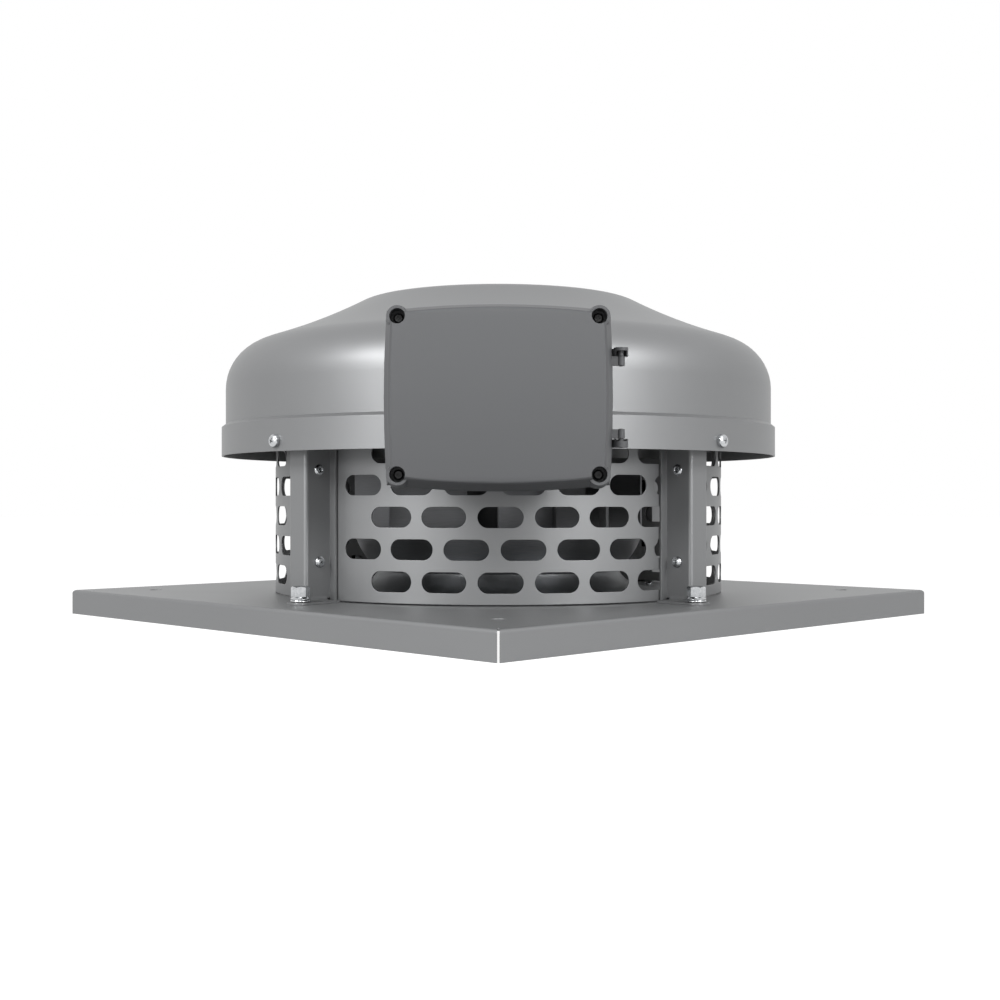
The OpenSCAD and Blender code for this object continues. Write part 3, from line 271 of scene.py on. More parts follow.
def impeller_sheet(colours):
    # Mill-finish aluminium sheet, rolled along the blades: pale streaks that catch light inside the guard.
    material, tree, place = begin("Aluminium_sheet_mill_finish")
    drawn = add(tree, "ShaderNodeMapping", {"Scale": (1.0, 1.0, 14.0)}, {"Vector": place})
    streaks = add(
        tree,
        "ShaderNodeTexNoise",
        {"Scale": 1 / (12 * MM), "Detail": 4.0},
        {"Vector": drawn.outputs["Vector"]},
    )
    looks = varied(tree, streaks.outputs["Fac"], tones(colours, "sheet"), (0.38, 0.5))
    surface(tree, {"Metallic": 1.0}, looks)
    return material


def box_plastic(colours):
    # Grey polycarbonate blend, injection moulded in a spark-eroded mould: even and matt. The real grain is
    # too fine to show, so it is drawn half a millimetre wide.
    material, tree, place = begin("Polycarbonate_moulded_fine_grain")
    looks = cloudy(tree, place, tones(colours, "box"), 45 * MM, (0.56, 0.64))
    looks["Normal"] = relief(tree, place, 0.5 * MM, 0.03 * MM, 0.4 * MM)
    surface(tree, {"IOR": 1.58}, looks)
    return material


def small_moulding(name, both_tones):
    """The plain satin skin of a small moulded part."""
    material, tree, place = begin(name)
    surface(tree, {"IOR": 1.53}, cloudy(tree, place, both_tones, 6 * MM, (0.4, 0.5)))
    return material


def black_polyamide(colours):
    # Black polyamide, moulded: glands, hinge pins and lid screws that stay dark beside the grey box.
    return small_moulding(BLACK_POLYAMIDE, tones(colours, "gland"))


def pale_polyamide(colours):
    # Uncoloured polyamide, moulded: a terminal block that stands out pale on the board.
    return small_moulding(PALE_POLYAMIDE, tones(colours, "terminal"))


def black_pbt(colours):
    # Black PBT, moulded: dark relay and capacitor sleeves that let their rounded edges shine.
    return small_moulding(BLACK_PBT, tones(colours, "rotor"))


def board_laminate(colours):
    # Glass-epoxy laminate under green solder mask: glossy, with the copper's paths just showing.
    material, tree, place = begin("Glass_epoxy_solder_mask")
    paths = add(tree, "ShaderNodeTexBrick", {"Scale": 1 / (12 * MM), "Mortar Size": 0.08}, {"Vector": place})
    looks = varied(tree, paths.outputs["Fac"], tones(colours, "board"))
    surface(tree, {"Roughness": 0.25, "IOR": 1.5}, looks)
    return material


def shown_white(tree, plain, painted_shade_ramp=None):
    """Plain shading, but white to the camera, to reflections and through glass: even, or dimmed by a given
    ramp, which on the floor is a painted shade.
    """
    rays = add(tree, "ShaderNodeLightPath").outputs
    seen = rays["Is Camera Ray"]
    for ray in ("Is Glossy Ray", "Is Transmission Ray"):
        either = add(tree, "ShaderNodeMath", links={0: seen, 1: rays[ray]}, operation="MAXIMUM")
        seen = either.outputs[0]
    links = {"Strength": painted_shade_ramp} if painted_shade_ramp else {}
    white = add(tree, "ShaderNodeEmission", {"Color": (1.0, 1.0, 1.0, 1.0), "Strength": 1.0}, links)
    return add(tree, "ShaderNodeMixShader", links={0: seen, 1: plain.outputs[0], 2: white.outputs[0]})


def studio_paper(colours):
    # Matt studio paper, plain: white to the eye, with a painted shade that dims the white a little round the
    # fan. Its own shading is added to the white, so that the fan's shadow shows, but it throws little light
    # up at the fan.
    material, tree, place = begin("Studio_paper_matt")
    paper = add(tree, "ShaderNodeBsdfDiffuse", {"Color": linear(colours.floor)})
    away = add(tree, "ShaderNodeVectorMath", links={0: place}, operation="LENGTH")
    # Painted shade: the white is 0.93 within half a metre of the fan's axis and full white from 1.6 m out.
    painted_shade_ramp = add(
        tree,
        "ShaderNodeMapRange",
        {"From Min": 0.5, "From Max": 1.6, "To Min": 0.93, "To Max": 1.0},
        {"Value": away.outputs["Value"]},
    )
    shown = shown_white(tree, paper, painted_shade_ramp.outputs["Result"])
    both = add(tree, "ShaderNodeAddShader", links={0: shown.outputs[0], 1: paper.outputs[0]})
    add(tree, "ShaderNodeOutputMaterial", links={"Surface": both.outputs[0]})
    return material


def dress(slot, material):
    """Gives a material to the CAD nodes that have a slot in the record."""
    nodes = [part["node"] for part in frame["record"]["subparts"] if part["material_slot"] == slot]
    if not nodes:
        raise RuntimeError(f"no CAD node has the slot {slot}")
    for name in nodes:
        piece = frame["nodes"][name]
        piece.data.materials.clear()
        piece.data.materials.append(material)


def one_skin(*nodes):
    """Closes the seams between the strips of spun and moulded skins, so that they shade as one surface."""
    for name in nodes:
        piece = frame["nodes"][name]
        piece.modifiers.new("Seams", "WELD").merge_threshold = SAME_SKIN
        crease = piece.modifiers.new("Creases", "EDGE_SPLIT")
        crease.split_angle = SKIN_CREASE
        crease.use_edge_sharp = False
        piece.modifiers.new("Skin", "WEIGHTED_NORMAL")


# Places


def corners(points):
    """The lowest and the highest corner of points."""
    low = Vector([min(p[i] for p in points) for i in range(3)])
    high = Vector([max(p[i] for p in points) for i in range(3)])
    return low, high


def middle(points):
    low, high = corners(points)
    return (low + high) / 2


def in_box_frame(points):
    """The lowest and the highest corner of points, seen along the control box's own directions."""
    turn = Matrix.Rotation(-BOX_ANGLE, 3, "Z")
    return corners([turn @ p for p in points])


def islands(name):
    """The separate solids of a CAD node, each as a list of points, in the order of their places."""
    work = bmesh.new()
    work.from_mesh(frame["nodes"][name].data)
    bmesh.ops.remove_doubles(work, verts=work.verts, dist=SAME_POINT)
    left = set(work.verts)
    found = []
    while left:
        start = left.pop()
        group, edge = [start], [start]
        while edge:
            for link in edge.pop().link_edges:
                for vertex in link.verts:
                    if vertex in left:
                        left.discard(vertex)
                        group.append(vertex)
                        edge.append(vertex)
        found.append([v.co.copy() for v in group])
    work.free()
    if not found:
        raise RuntimeError(f"the CAD node {name} has no solids")
    return sorted(found, key=lambda points: [round(c / MM) for c in middle(points)])


# The ways that heads point, each from the middle of its fastener


def upward(centre):
    return Vector((0, 0, 1))


def outward(centre):
    return Vector((centre.x, centre.y, 0)).normalized()


def sideways(centre):
    """Across a leg, to the side of its middle plane that the point lies on."""
    if abs(centre.x) > abs(centre.y):
        return Vector((0, math.copysign(1, centre.y), 0))
    return Vector((math.copysign(1, centre.x), 0, 0))


def backward(centre):
    """From the control box toward the fan's axis."""
    return toward(0.0, 0.0, -1.0)


def seats(name, heading, head_height):
    """Where the heads of a CAD node's fasteners sit, as matrices whose Z is the way that the heads point."""
    found = []
    for points in islands(name):
        centre = middle(points)
        axis = heading(centre)
        top = max((p - centre).dot(axis) for p in points)
        turn = axis.to_track_quat("Z", "Y").to_matrix().to_4x4()
        found.append(Matrix.Translation(centre + axis * (top - head_height)) @ turn)
    return found


def rolled(places, degrees):
    """Places turned about their own Z, so that no two heads stand alike."""
    pairs = zip(places, degrees, strict=True)
    return [place @ Matrix.Rotation(math.radians(roll), 4, "Z") for place, roll in pairs]


# Shapes


def turned(work, profile, segments=48, shape=None):
    """Adds a turned form to a mesh; its profile runs as radius and height, from pole to pole or closed."""
    rings = []
    closed = profile[0] == profile[-1]
    if closed:
        profile = profile[:-1]
    for radius, height in profile:
        ring = []
        for i in range(1 if radius == 0 else segments):
            angle = 2 * math.pi * i / segments
            r, z = shape(angle, radius, height) if shape else (radius, height)
            ring.append(work.verts.new((r * math.cos(angle), r * math.sin(angle), z)))
        rings.append(ring)
    if closed:
        rings.append(rings[0])
    for low, high in zip(rings, rings[1:]):
        for i in range(segments):
            j = i + 1
            around = [low[i % len(low)], low[j % len(low)], high[j % len(high)], high[i % len(high)]]
            face = list(dict.fromkeys(around))
            if len(face) > 2:
                work.faces.new(face)


def threaded(work, radius, pitch, length):
    """Adds a screw thread that runs down from height zero and thins out in its last turn."""
    segments, steps = 24, 6
    # A metric thread's depth, and the shares of it that its groove and its end take away
    depth = 0.54 * pitch
    groove, taper = 0.9, 0.6
    rows = int(length / pitch * steps)
    rings = []
    for row in range(rows + 1):
        z = -row * pitch / steps
        end = min(1.0, (rows - row) / steps)
        ring = []
        for i in range(segments):
            phase = (row / steps + i / segments) % 1.0
            r = radius - depth * (abs(2 * phase - 1) * groove + (1 - end) * taper)
            angle = 2 * math.pi * i / segments
            ring.append(work.verts.new((r * math.cos(angle), r * math.sin(angle), z)))
        rings.append(ring)
    for low, high in zip(rings, rings[1:]):
        for i in range(segments):
            j = (i + 1) % segments
            work.faces.new((low[i], low[j], high[j], high[i]))
    work.faces.new(rings[0])
    work.faces.new(rings[-1])


def rounded_block(work, low, high, radius):
    """Adds a block between two corners, with rounded edges."""
    place = Matrix.Translation((low + high) / 2) @ Matrix.Diagonal((*(high - low), 1.0))
    made = bmesh.ops.create_cube(work, size=1.0, matrix=place)
    edges = list(dict.fromkeys(edge for vertex in made["verts"] for edge in vertex.link_edges))
    bmesh.ops.bevel(work, geom=edges, offset=radius, segments=3, profile=0.5, affect="EDGES")


def in_order(work):
    """A mesh again with its points and faces in the order of their places, the same in each run."""
    points = sorted({tuple(vertex.co) for vertex in work.verts})
    rank = {point: i for i, point in enumerate(points)}
    loops = []
    for face in work.faces:
        loop = [rank[tuple(vertex.co)] for vertex in face.verts]
        first = loop.index(min(loop))
        loops.append(loop[first:] + loop[:first])
    work.free()
    result = bmesh.new()
    vertices = [result.verts.new(point) for point in points]
    for loop in sorted(loops):
        result.faces.new([vertices[i] for i in loop])
    return result


def cut_away(work, cutter):
    """Takes one mesh away from another and returns the rest."""
    pieces = []
    for source in (work, cutter):
        mesh = bpy.data.meshes.new("Cut")
        source.to_mesh(mesh)
        source.free()
        piece = bpy.data.objects.new("Cut", mesh)
        bpy.context.scene.collection.objects.link(piece)
        pieces.append(piece)
    body, tool = pieces
    cut = body.modifiers.new("Cut", "BOOLEAN")
    cut.operation = "DIFFERENCE"
    cut.solver = "EXACT"
    cut.object = tool
    result = bmesh.new()
    result.from_object(body, bpy.context.evaluated_depsgraph_get())
    for piece in pieces:
        mesh = piece.data
        bpy.data.objects.remove(piece)
        bpy.data.meshes.remove(mesh)
    if not result.faces:
        raise RuntimeError("a cut left no faces")
    return in_order(result)


def repeat(work, matrices, whole=None):
    """Copies a form to each place, into a new mesh or one that is there."""
    master = bpy.data.meshes.new("Master")
    work.to_mesh(master)
    work.free()
    if whole is None:
        whole = bmesh.new()
    for matrix in matrices:
        start = len(whole.verts)
        whole.from_mesh(master)
        whole.verts.ensure_lookup_table()
        bmesh.ops.transform(whole, matrix=matrix, verts=whole.verts[start:])
    bpy.data.meshes.remove(master)
    return whole


def smoothed(work):
    """Shades a mesh smooth but for its creases, with its faces turned outward."""
    bmesh.ops.recalc_face_normals(work, faces=work.faces)
    for face in work.faces:
        face.smooth = True
    for edge in work.edges:
        edge.smooth = len(edge.link_faces) == 2 and edge.calc_face_angle(0.0) < PIECE_CREASE


def put(name, work, material, body, stands_for):
    """Makes a finished piece of a mesh, on a body of the frame and in place of CAD nodes."""
    smoothed(work)
    mesh = bpy.data.meshes.new(name)
    work.to_mesh(mesh)
    work.free()
    if not mesh.polygons:
        raise RuntimeError(f"{name} has no faces")
    mesh.materials.append(bpy.data.materials[material])
    piece = bpy.data.objects.new(name, mesh)
    bpy.context.scene.collection.objects.link(piece)
    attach(piece, body)
    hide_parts(*stands_for)


def hex_radius(angle, across):
    """The radius of a hexagon with a width across its flats, at an angle."""
    third = math.pi / 3
    return across / 2 / math.cos((angle + third / 2) % third - third / 2)


def hex_head(across, height, collar_r, collar_h):
    """A flanged hexagon head with a shallow dish and chamfered corners."""
    crown = across * 0.47
    dish, bevel = 0.2 * MM, 0.25 * MM
    chamfer = math.tan(math.radians(30))

    def shape(angle, radius, z):
        if radius != HEXAGON:
            return radius, z
        corner = hex_radius(angle, across)
        if z < height:
            return corner, z
        return corner, z - max(0.0, corner - crown) * chamfer

    profile = [
        (0, height - dish),
        (crown * 0.86, height - dish),
        (crown * 0.92, height),
        (crown, height),
        (HEXAGON, height),
        (HEXAGON, collar_h),
        (across * 0.5, collar_h),
        (collar_r - 2 * bevel, collar_h * 0.5),
        (collar_r, collar_h * 0.32),
        (collar_r, bevel),
        (collar_r - bevel, 0),
        (0, 0),
    ]
    work = bmesh.new()
    turned(work, profile, HEX_SEGMENTS, shape)
    return work


def pan_head(radius, height, wing, depth):
    """A domed pan head with a cross recess, given the reach of the recess's wings and its depth."""
    steps, bevel = 9, 0.2 * MM
    profile = [(0, height)]
    for i in range(1, steps + 1):
        t = math.pi / 2 * i / steps
        profile.append((radius * math.sin(t) ** 0.85, height * (0.34 + 0.66 * math.cos(t) ** 0.8)))
    profile += [(radius, bevel), (radius - bevel, 0), (0, 0)]
    work = bmesh.new()
    turned(work, profile)
    # The cutter's floor in the head and its top over the head: height, then reach and width per wing
    ends = ((height - depth, 0.45, 0.3), (height + depth, 1.55, 0.42))
    for turn in (0.0, math.pi / 2):
        cutter = bmesh.new()
        points = []
        for z, reach, width in ends:
            for sx, sy in SQUARE:
                points.append(cutter.verts.new((sx * wing * reach, sy * wing * width / 2, z)))
        for face in BLOCK_FACES:
            cutter.faces.new([points[k] for k in face])
        bmesh.ops.rotate(cutter, verts=cutter.verts, matrix=Matrix.Rotation(turn, 3, "Z"))
        work = cut_away(work, cutter)
    return work


# Fasteners


def foot_bolts(sizes):
    # Flanged hexagon bolts that hold the legs on the base plate
    work = hex_head(sizes.foot_across, sizes.foot_height, sizes.foot_collar_r, sizes.foot_collar_h)
    threaded(work, sizes.foot_thread, sizes.foot_pitch, sizes.foot_length)
    places = rolled(seats("foot_bolts", upward, sizes.foot_height), (12, 41, 27, 3))
    put("Foot_bolts", repeat(work, places), ZINC, "frame", ["foot_bolts"])


def foot_washers(sizes):
    # Bonded sealing washers: a zinc-plated disc on a thin black rubber seal
    washers = islands("foot_washers")
    low, high = corners(washers[0])
    reach = high.x - middle(washers[0]).x
    thick = high.z - low.z
    seam, edge = thick * 0.4, thick * 0.15
    clearance = 0.3 * MM
    bore = sizes.foot_thread + clearance
    disc, seal = bmesh.new(), bmesh.new()
    turned(
        disc,
        [
            (bore, seam),
            (bore, thick),
            (reach - 2 * edge, thick),
            (reach - edge, thick - edge),
            (reach, seam + edge),
            (reach, seam),
            (bore, seam),
        ],
    )
    turned(seal, [(bore, 0), (bore, seam), (reach - 2 * edge, seam), (reach - edge, 0), (bore, 0)])
    places = [Matrix.Translation((middle(p).x, middle(p).y, low.z)) for p in washers]
    put("Foot_washer_discs", repeat(disc, places), ZINC, "frame", ["foot_washers"])
    put("Foot_washer_seals", repeat(seal, places), RUBBER, "frame", ["foot_washers"])


def pan_screws(sizes):
    # Pan head screws on the cowl's band and on the leg flanges; the heads of the CAD part say where they sit
    cowl_cad_h, leg_cad_h = 3.2 * MM, 3.0 * MM
    kinds = (
        ("Cowl_screws", "cowl_screws", outward, cowl_cad_h, sizes.cowl_head_r, sizes.cowl_head_h),
        ("Leg_screws", "leg_screws", sideways, leg_cad_h, sizes.leg_head_r, sizes.leg_head_h),
    )
    for name, node, heading, cad_h, head_r, head_h in kinds:
        work = pan_head(head_r, head_h, head_r * 0.42, head_h * 0.55)
        threaded(work, sizes.screw_thread, sizes.screw_pitch, sizes.screw_length)
        places = rolled(seats(node, heading, cad_h), (20, 64, 38, 80))
        put(name, repeat(work, places), ZINC, "frame", [node])


def leg_rivets(sizes):
    # Hollow rivets with a rolled rim round an open middle, whose floor lies under the flange
    rim, height, bore = sizes.rivet_head_r, sizes.rivet_head_h, sizes.rivet_bore_r
    stem_r, stem_end = sizes.screw_thread, -sizes.screw_length
    floor, throat = -3.0 * MM, -0.6 * MM
    work = bmesh.new()
    turned(
        work,
        [
            (0, floor),
            (bore * 0.8, floor),
            (bore * 0.86, throat),
            (bore, height * 0.72),
            (bore * 1.12, height * 0.94),
            (bore * 1.35, height),
            (rim * 0.78, height * 0.9),
            (rim * 0.94, height * 0.6),
            (rim, height * 0.25),
            (rim * 0.97, 0),
            (stem_r, 0),
            (stem_r, stem_end),
            (0, stem_end),
        ],
    )
    places = seats("leg_rivets", sideways, height)
    put("Leg_rivets", repeat(work, places), ZINC, "frame", ["leg_rivets"])


# Cable glands: heights over the outer face of the box's wall, and radii

HEX_TOP = 5 * MM
CAP_TOP = 14 * MM
MOUTH = 19 * MM
CAP_R = 9.5 * MM
CAP_BORE_R = CAP_R * 0.68
CAP_FLOOR = CAP_TOP - 2 * MM
STEM_R = 7.9 * MM
STEM_END = -8 * MM
CAP_GAP = 0.3 * MM


def gland_nuts(work, sizes):
    """Adds the two hexagons that clamp the box's wall between them."""
    across, wall = sizes.gland_across, sizes.gland_wall
    bore, flat = STEM_R * 0.9, across * 0.49
    nut_h, chamfer = 3 * MM, 0.6 * MM

    def hexagon(angle, radius, z):
        return (hex_radius(angle, across) if radius == HEXAGON else radius), z

    for low, high in ((0.0, HEX_TOP - CAP_GAP), (-wall - nut_h, -wall)):
        profile = [
            (bore, low),
            (flat, low),
            (HEXAGON, low + chamfer),
            (HEXAGON, high - chamfer),
            (flat, high),
            (bore, high),
            (bore, low),
        ]
        turned(work, profile, HEX_SEGMENTS, hexagon)


def gland_cap(work, sizes):
    """Adds the domed cap nut with its grip ribs."""
    hem = CAP_R * 0.97
    rib_segments = 160

    def ribbed(angle, radius, z):
        if radius < hem:
            return radius, z
        groove = max(0.0, math.cos(angle * sizes.gland_ribs)) ** 0.6
        return radius - sizes.gland_rib_depth * groove, z

    profile = [
        (STEM_R, HEX_TOP - CAP_GAP),
        (hem, HEX_TOP - CAP_GAP),
        (CAP_R, HEX_TOP + 0.4 * MM),
        (CAP_R, CAP_TOP - 1.2 * MM),
        (CAP_R * 0.965, CAP_TOP),
        (CAP_R * 0.88, CAP_TOP + 2.2 * MM),
        (CAP_R * 0.78, MOUTH - 0.4 * MM),
        (CAP_R * 0.73, MOUTH),
        (CAP_BORE_R, MOUTH - 0.3 * MM),
        (CAP_BORE_R, CAP_FLOOR),
        (STEM_R, CAP_FLOOR),
        (STEM_R, HEX_TOP - CAP_GAP),
    ]
    turned(work, profile, rib_segments, ribbed)


def gland_stem(work, sizes):
    """Adds the threaded stem, from inside the box to under the cap nut's floor."""
    pitch = 1.5 * MM
    bore, root = sizes.gland_bore_r, STEM_R - 0.5 * pitch
    top = CAP_FLOOR - 1 * MM
    profile = [(bore, STEM_END), (root, STEM_END)]
    for i in range(int(-STEM_END / pitch)):
        profile.append((STEM_R, STEM_END + (i + 0.5) * pitch))
        profile.append((root, STEM_END + (i + 1) * pitch))
    profile += [(root, top), (bore, top), (bore, STEM_END)]
    turned(work, profile)


def gland_seal(work, sizes):
    """Adds the rubber sleeve that grips the cable inside the cap nut."""
    bore, rim = sizes.gland_bore_r, CAP_BORE_R - 0.1 * MM
    profile = [
        (bore, HEX_TOP),
        (rim, CAP_FLOOR),
        (rim, MOUTH - 1.2 * MM),
        (bore + 0.4 * MM, MOUTH - 0.9 * MM),
        (bore, MOUTH - 1.5 * MM),
        (bore, HEX_TOP),
    ]
    turned(work, profile)


# Terminals and board parts, made along the control box's own directions and then turned to the frame's

BOX_TURN = Matrix.Rotation(BOX_ANGLE, 4, "Z")
FACING = Matrix.Rotation(math.radians(90), 4, "Y")


def terminal_block(sizes):
    # A row of moulded ways, each with a wire's mouth below and a clamp screw down its well
    low, high = in_box_frame(islands("terminal_block")[0])
    way = (high.y - low.y) / sizes.terminal_ways
    screw_r, screw_z = sizes.terminal_screw_r, low.z + (high.z - low.z) * 0.6
    gap, edge_r = 0.15 * MM, 0.7 * MM
    well_depth, well_inset = 5 * MM, 0.5 * MM
    floor_play, mouth_play = 0.2 * MM, 0.5 * MM
    wire_x, wire_half = low.x + 2.5 * MM, way * 0.28
    wire_depth, wire_edge_r, past = 4 * MM, 0.5 * MM, 2 * MM
    head_h, recess, sunk = 1.2 * MM, 0.7 * MM, 1.6 * MM
    # In radians: each head stands this much further round than the one before
    roll = 0.5
    block, wells, screws = bmesh.new(), bmesh.new(), bmesh.new()
    for i in range(sizes.terminal_ways):
        y = low.y + way * i
        middle_y = y + way / 2
        start, end = Vector((low.x, y + gap, low.z)), Vector((high.x, y + way - gap, high.z))
        rounded_block(block, start, end, edge_r)
        bmesh.ops.create_cone(
            wells,
            cap_ends=True,
            segments=40,
            radius1=screw_r + floor_play,
            radius2=screw_r + mouth_play,
            depth=well_depth,
            matrix=Matrix.Translation((high.x - well_inset, middle_y, screw_z)) @ FACING,
        )
        start = Vector((wire_x, middle_y - wire_half, low.z - past))
        end = Vector((wire_x + 2 * wire_half, middle_y + wire_half, low.z + wire_depth))
        rounded_block(wells, start, end, wire_edge_r)
        head = pan_head(screw_r, head_h, screw_r * 0.5, recess)
        place = Matrix.Translation((high.x - sunk, middle_y, screw_z)) @ FACING
        repeat(head, [place @ Matrix.Rotation(roll * i, 4, "Z")], screws)
    block = repeat(cut_away(block, wells), [BOX_TURN])
    screws = repeat(screws, [BOX_TURN])
    put("Terminal_block", block, PALE_POLYAMIDE, "frame", ["terminal_block"])
    put("Terminal_screws", screws, ZINC, "frame", ["terminal_block"])


def capacitor_sleeve(radius, height):
    """The sleeve of a capacitor that stands on Z, with a neck above its foot and a rim round its top."""
    neck = min(3 * MM, height * 0.14)
    foot, groove, rim, dish = 0.6 * MM, 0.7 * MM, 0.9 * MM, 0.2 * MM
    work = bmesh.new()
    turned(
        work,
        [
            (0, 0),
            (radius * 0.94, 0),
            (radius, foot),
            (radius, neck),
            (radius * 0.95, neck + groove),
            (radius, neck + 2 * groove),
            (radius, height - rim),
            (radius * 0.97, height - dish),
            (radius * 0.9, height),
            (radius * 0.86, height - dish),
            (0, height - dish),
        ],
    )
    return work


def capacitor_top(radius, height):
    """The bare disc inside the sleeve's rim."""
    disc_r = radius * 0.84
    floor, shoulder, face = height - 0.3 * MM, height - 0.1 * MM, height - 0.02 * MM
    work = bmesh.new()
    turned(work, [(0, floor), (disc_r, floor), (disc_r, shoulder), (disc_r * 0.95, face), (0, face)])
    return work


def board_parts():
    # A relay and two capacitors, each fitted to its solid of the CAD part, where a round one has many points
    round_points, relay_edge_r = 40, 0.8 * MM
    sleeves, tops, relay = bmesh.new(), bmesh.new(), bmesh.new()
    for points in islands("board_parts"):
        low, high = in_box_frame(points)
        if len(points) < round_points:
            rounded_block(relay, low, high, relay_edge_r)
            continue
        radius, height = (high.y - low.y) / 2, high.x - low.x
        place = Matrix.Translation((low.x, (low.y + high.y) / 2, (low.z + high.z) / 2)) @ FACING
        repeat(capacitor_sleeve(radius, height), [place], sleeves)
        repeat(capacitor_top(radius, height), [place], tops)
    sleeves, tops, relay = [repeat(work, [BOX_TURN]) for work in (sleeves, tops, relay)]
    put("Capacitor_sleeves", sleeves, BLACK_PBT, "frame", ["board_parts"])
    put("Capacitor_tops", tops, ALUMINIUM, "frame", ["board_parts"])
    put("Relay_housing", relay, BLACK_PBT, "frame", ["board_parts"])


# Values that a user would change


def tone(name, description, code):
    return bpy.props.StringProperty(name=name, description=description, default=code)


def metres(name, description, size):
    return bpy.props.FloatProperty(name=name, description=description, default=size, unit="LENGTH")


class ROOFFAN_PG_colours(bpy.types.PropertyGroup):
    coat_light: tone("Coat, light", "Lighter tone of the powder coat", "#7D7E7F")
    coat_dark: tone("Coat, dark", "Darker tone of the powder coat", "#7A7B7C")
    zinc_light: tone("Galvanising, light", "Lighter crystals of the galvanised sheet", "#8B8D8F")
    zinc_dark: tone("Galvanising, dark", "Darker crystals of the galvanised sheet", "#7C7E80")
    plate_light: tone("Zinc plate, light", "Lighter tone of the fasteners", "#D4D6D8")
    plate_dark: tone("Zinc plate, dark", "Darker tone of the fasteners", "#949698")
    rubber_light: tone("Rubber, light", "Lighter tone of washers and gasket", "#2A2A2B")
    rubber_dark: tone("Rubber, dark", "Darker tone of washers and gasket", "#1F1F20")
    cast_light: tone("Casting, light", "Lighter tone of the motor's bush", "#BFC0C2")
    cast_dark: tone("Casting, dark", "Darker tone of the motor's bush", "#A9AAAC")
    core_light: tone("Cores, light", "Lighter lines of the laminations", "#75767A")
    core_dark: tone("Cores, dark", "Darker lines of the laminations", "#45464A")
    # The winding's dark tone is its painted shade in the grooves between turns, its light tone its painted
    # highlight on their crests.
    wire_light: tone("Winding, light", "Lighter tone of the enamelled wire", "#A05A33")
    wire_dark: tone("Winding, dark", "Darker tone of the enamelled wire", "#6B351C")
    steel_light: tone("Bearing steel, light", "Lighter tone of the ground steel", "#CBCDCF")
    steel_dark: tone("Bearing steel, dark", "Darker tone of the ground steel", "#B6B8BB")
    rotor_light: tone("Rotor, light", "Lighter tone of the rotor's paint", "#2E2F31")
    rotor_dark: tone("Rotor, dark", "Darker tone of the rotor's paint", "#242527")
    sheet_light: tone("Impeller, light", "Lighter grain of the aluminium sheet", "#8A8B8D")
    sheet_dark: tone("Impeller, dark", "Darker grain of the aluminium sheet", "#747578")
    box_light: tone("Box, light", "Lighter tone of the control box", "#434446")
    box_dark: tone("Box, dark", "Darker tone of the control box", "#404143")
    gland_light: tone("Glands, light", "Lighter tone of glands and hinge pins", "#242526")
    gland_dark: tone("Glands, dark", "Darker tone of glands and hinge pins", "#1C1D1E")
    board_light: tone("Board, light", "Solder mask over the copper", "#2C6B40")
    board_dark: tone("Board, dark", "Solder mask over the laminate", "#1F5431")
    terminal_light: tone("Terminals, light", "Lighter tone of the terminal block", "#BCBEBF")
    terminal_dark: tone("Terminals, dark", "Darker tone of the terminal block", "#B0B2B4")
    floor: tone("Floor", "Tone of the floor's own surface", "#8C8C8C")


class ROOFFAN_PG_fasteners(bpy.types.PropertyGroup):
    foot_across: metres("Foot bolt, across flats", "Width of the hexagon", 13.0 * MM)
    foot_height: metres("Foot bolt, head height", "Height of hexagon and flange", 10.6 * MM)
    foot_collar_r: metres("Foot bolt, flange radius", "Radius of the flange", 7.9 * MM)
    foot_collar_h: metres("Foot bolt, flange height", "Height of the flange", 2.4 * MM)
    foot_thread: metres("Foot bolt, thread radius", "Outer radius of the thread", 4.0 * MM)
    foot_pitch: metres("Foot bolt, pitch", "Rise of the thread in one turn", 1.25 * MM)
    foot_length: metres("Foot bolt, length", "Length under the head", 16.0 * MM)
    cowl_head_r: metres("Cowl screw, head radius", "Radius of the pan head", 5.5 * MM)
    cowl_head_h: metres("Cowl screw, head height", "Height of the pan head", 5.0 * MM)
    leg_head_r: metres("Leg screw, head radius", "Radius of the pan head", 4.6 * MM)
    leg_head_h: metres("Leg screw, head height", "Height of the pan head", 3.0 * MM)
    screw_thread: metres("Screws, thread radius", "Outer radius of the thread", 2.4 * MM)
    screw_pitch: metres("Screws, pitch", "Rise of the thread in one turn", 0.8 * MM)
    screw_length: metres("Screws, length", "Length under the head", 9.0 * MM)
    rivet_head_r: metres("Rivet, head radius", "Radius of the flange", 4.6 * MM)
    rivet_head_h: metres("Rivet, head height", "Height of the flange", 1.4 * MM)
    rivet_bore_r: metres("Rivet, bore radius", "Radius of the open middle", 2.0 * MM)


class ROOFFAN_PG_box(bpy.types.PropertyGroup):
    gland_ribs: bpy.props.IntProperty(
        name="Gland ribs", description="Grip ribs round the cap nut", default=20
    )
    gland_rib_depth: metres("Gland rib depth", "Depth of the grooves between ribs", 0.6 * MM)
    gland_across: metres("Gland hexagon", "Width across the flats", 19.8 * MM)
    gland_bore_r: metres("Gland bore radius", "Radius of the open middle", 5.0 * MM)
    gland_wall: metres("Box wall", "Thickness of the wall that the gland clamps", 2.5 * MM)
    terminal_ways: bpy.props.IntProperty(
        name="Terminal ways", description="Poles of the terminal block", default=6
    )
    terminal_screw_r: metres("Terminal screw radius", "Radius of the clamp screws", 2.2 * MM)


class ROOFFAN_PG_studio(bpy.types.PropertyGroup):
    camera_distance: metres("Camera distance", "From the fan's axis", 1.295)
    camera_height: metres("Camera height", "Above the base's lower edge", 0.1054)
    lens: bpy.props.FloatProperty(
        name="Lens", description="Focal length in mm", default=50.209, unit="CAMERA"
    )
    lamp_distance: metres("Lamp distance", "From the point that the lamps aim at", 2.4)
    lamp_aim: metres("Lamp aim", "Height on the fan's axis that the lamps aim at", 0.14)
    fill: bpy.props.FloatProperty(
        name="Fill", description="Even light of the room on matt surfaces", default=0.1, subtype="FACTOR"
    )
    floor_size: metres("Floor size", "Side of the square floor", 14.0)


# Operators


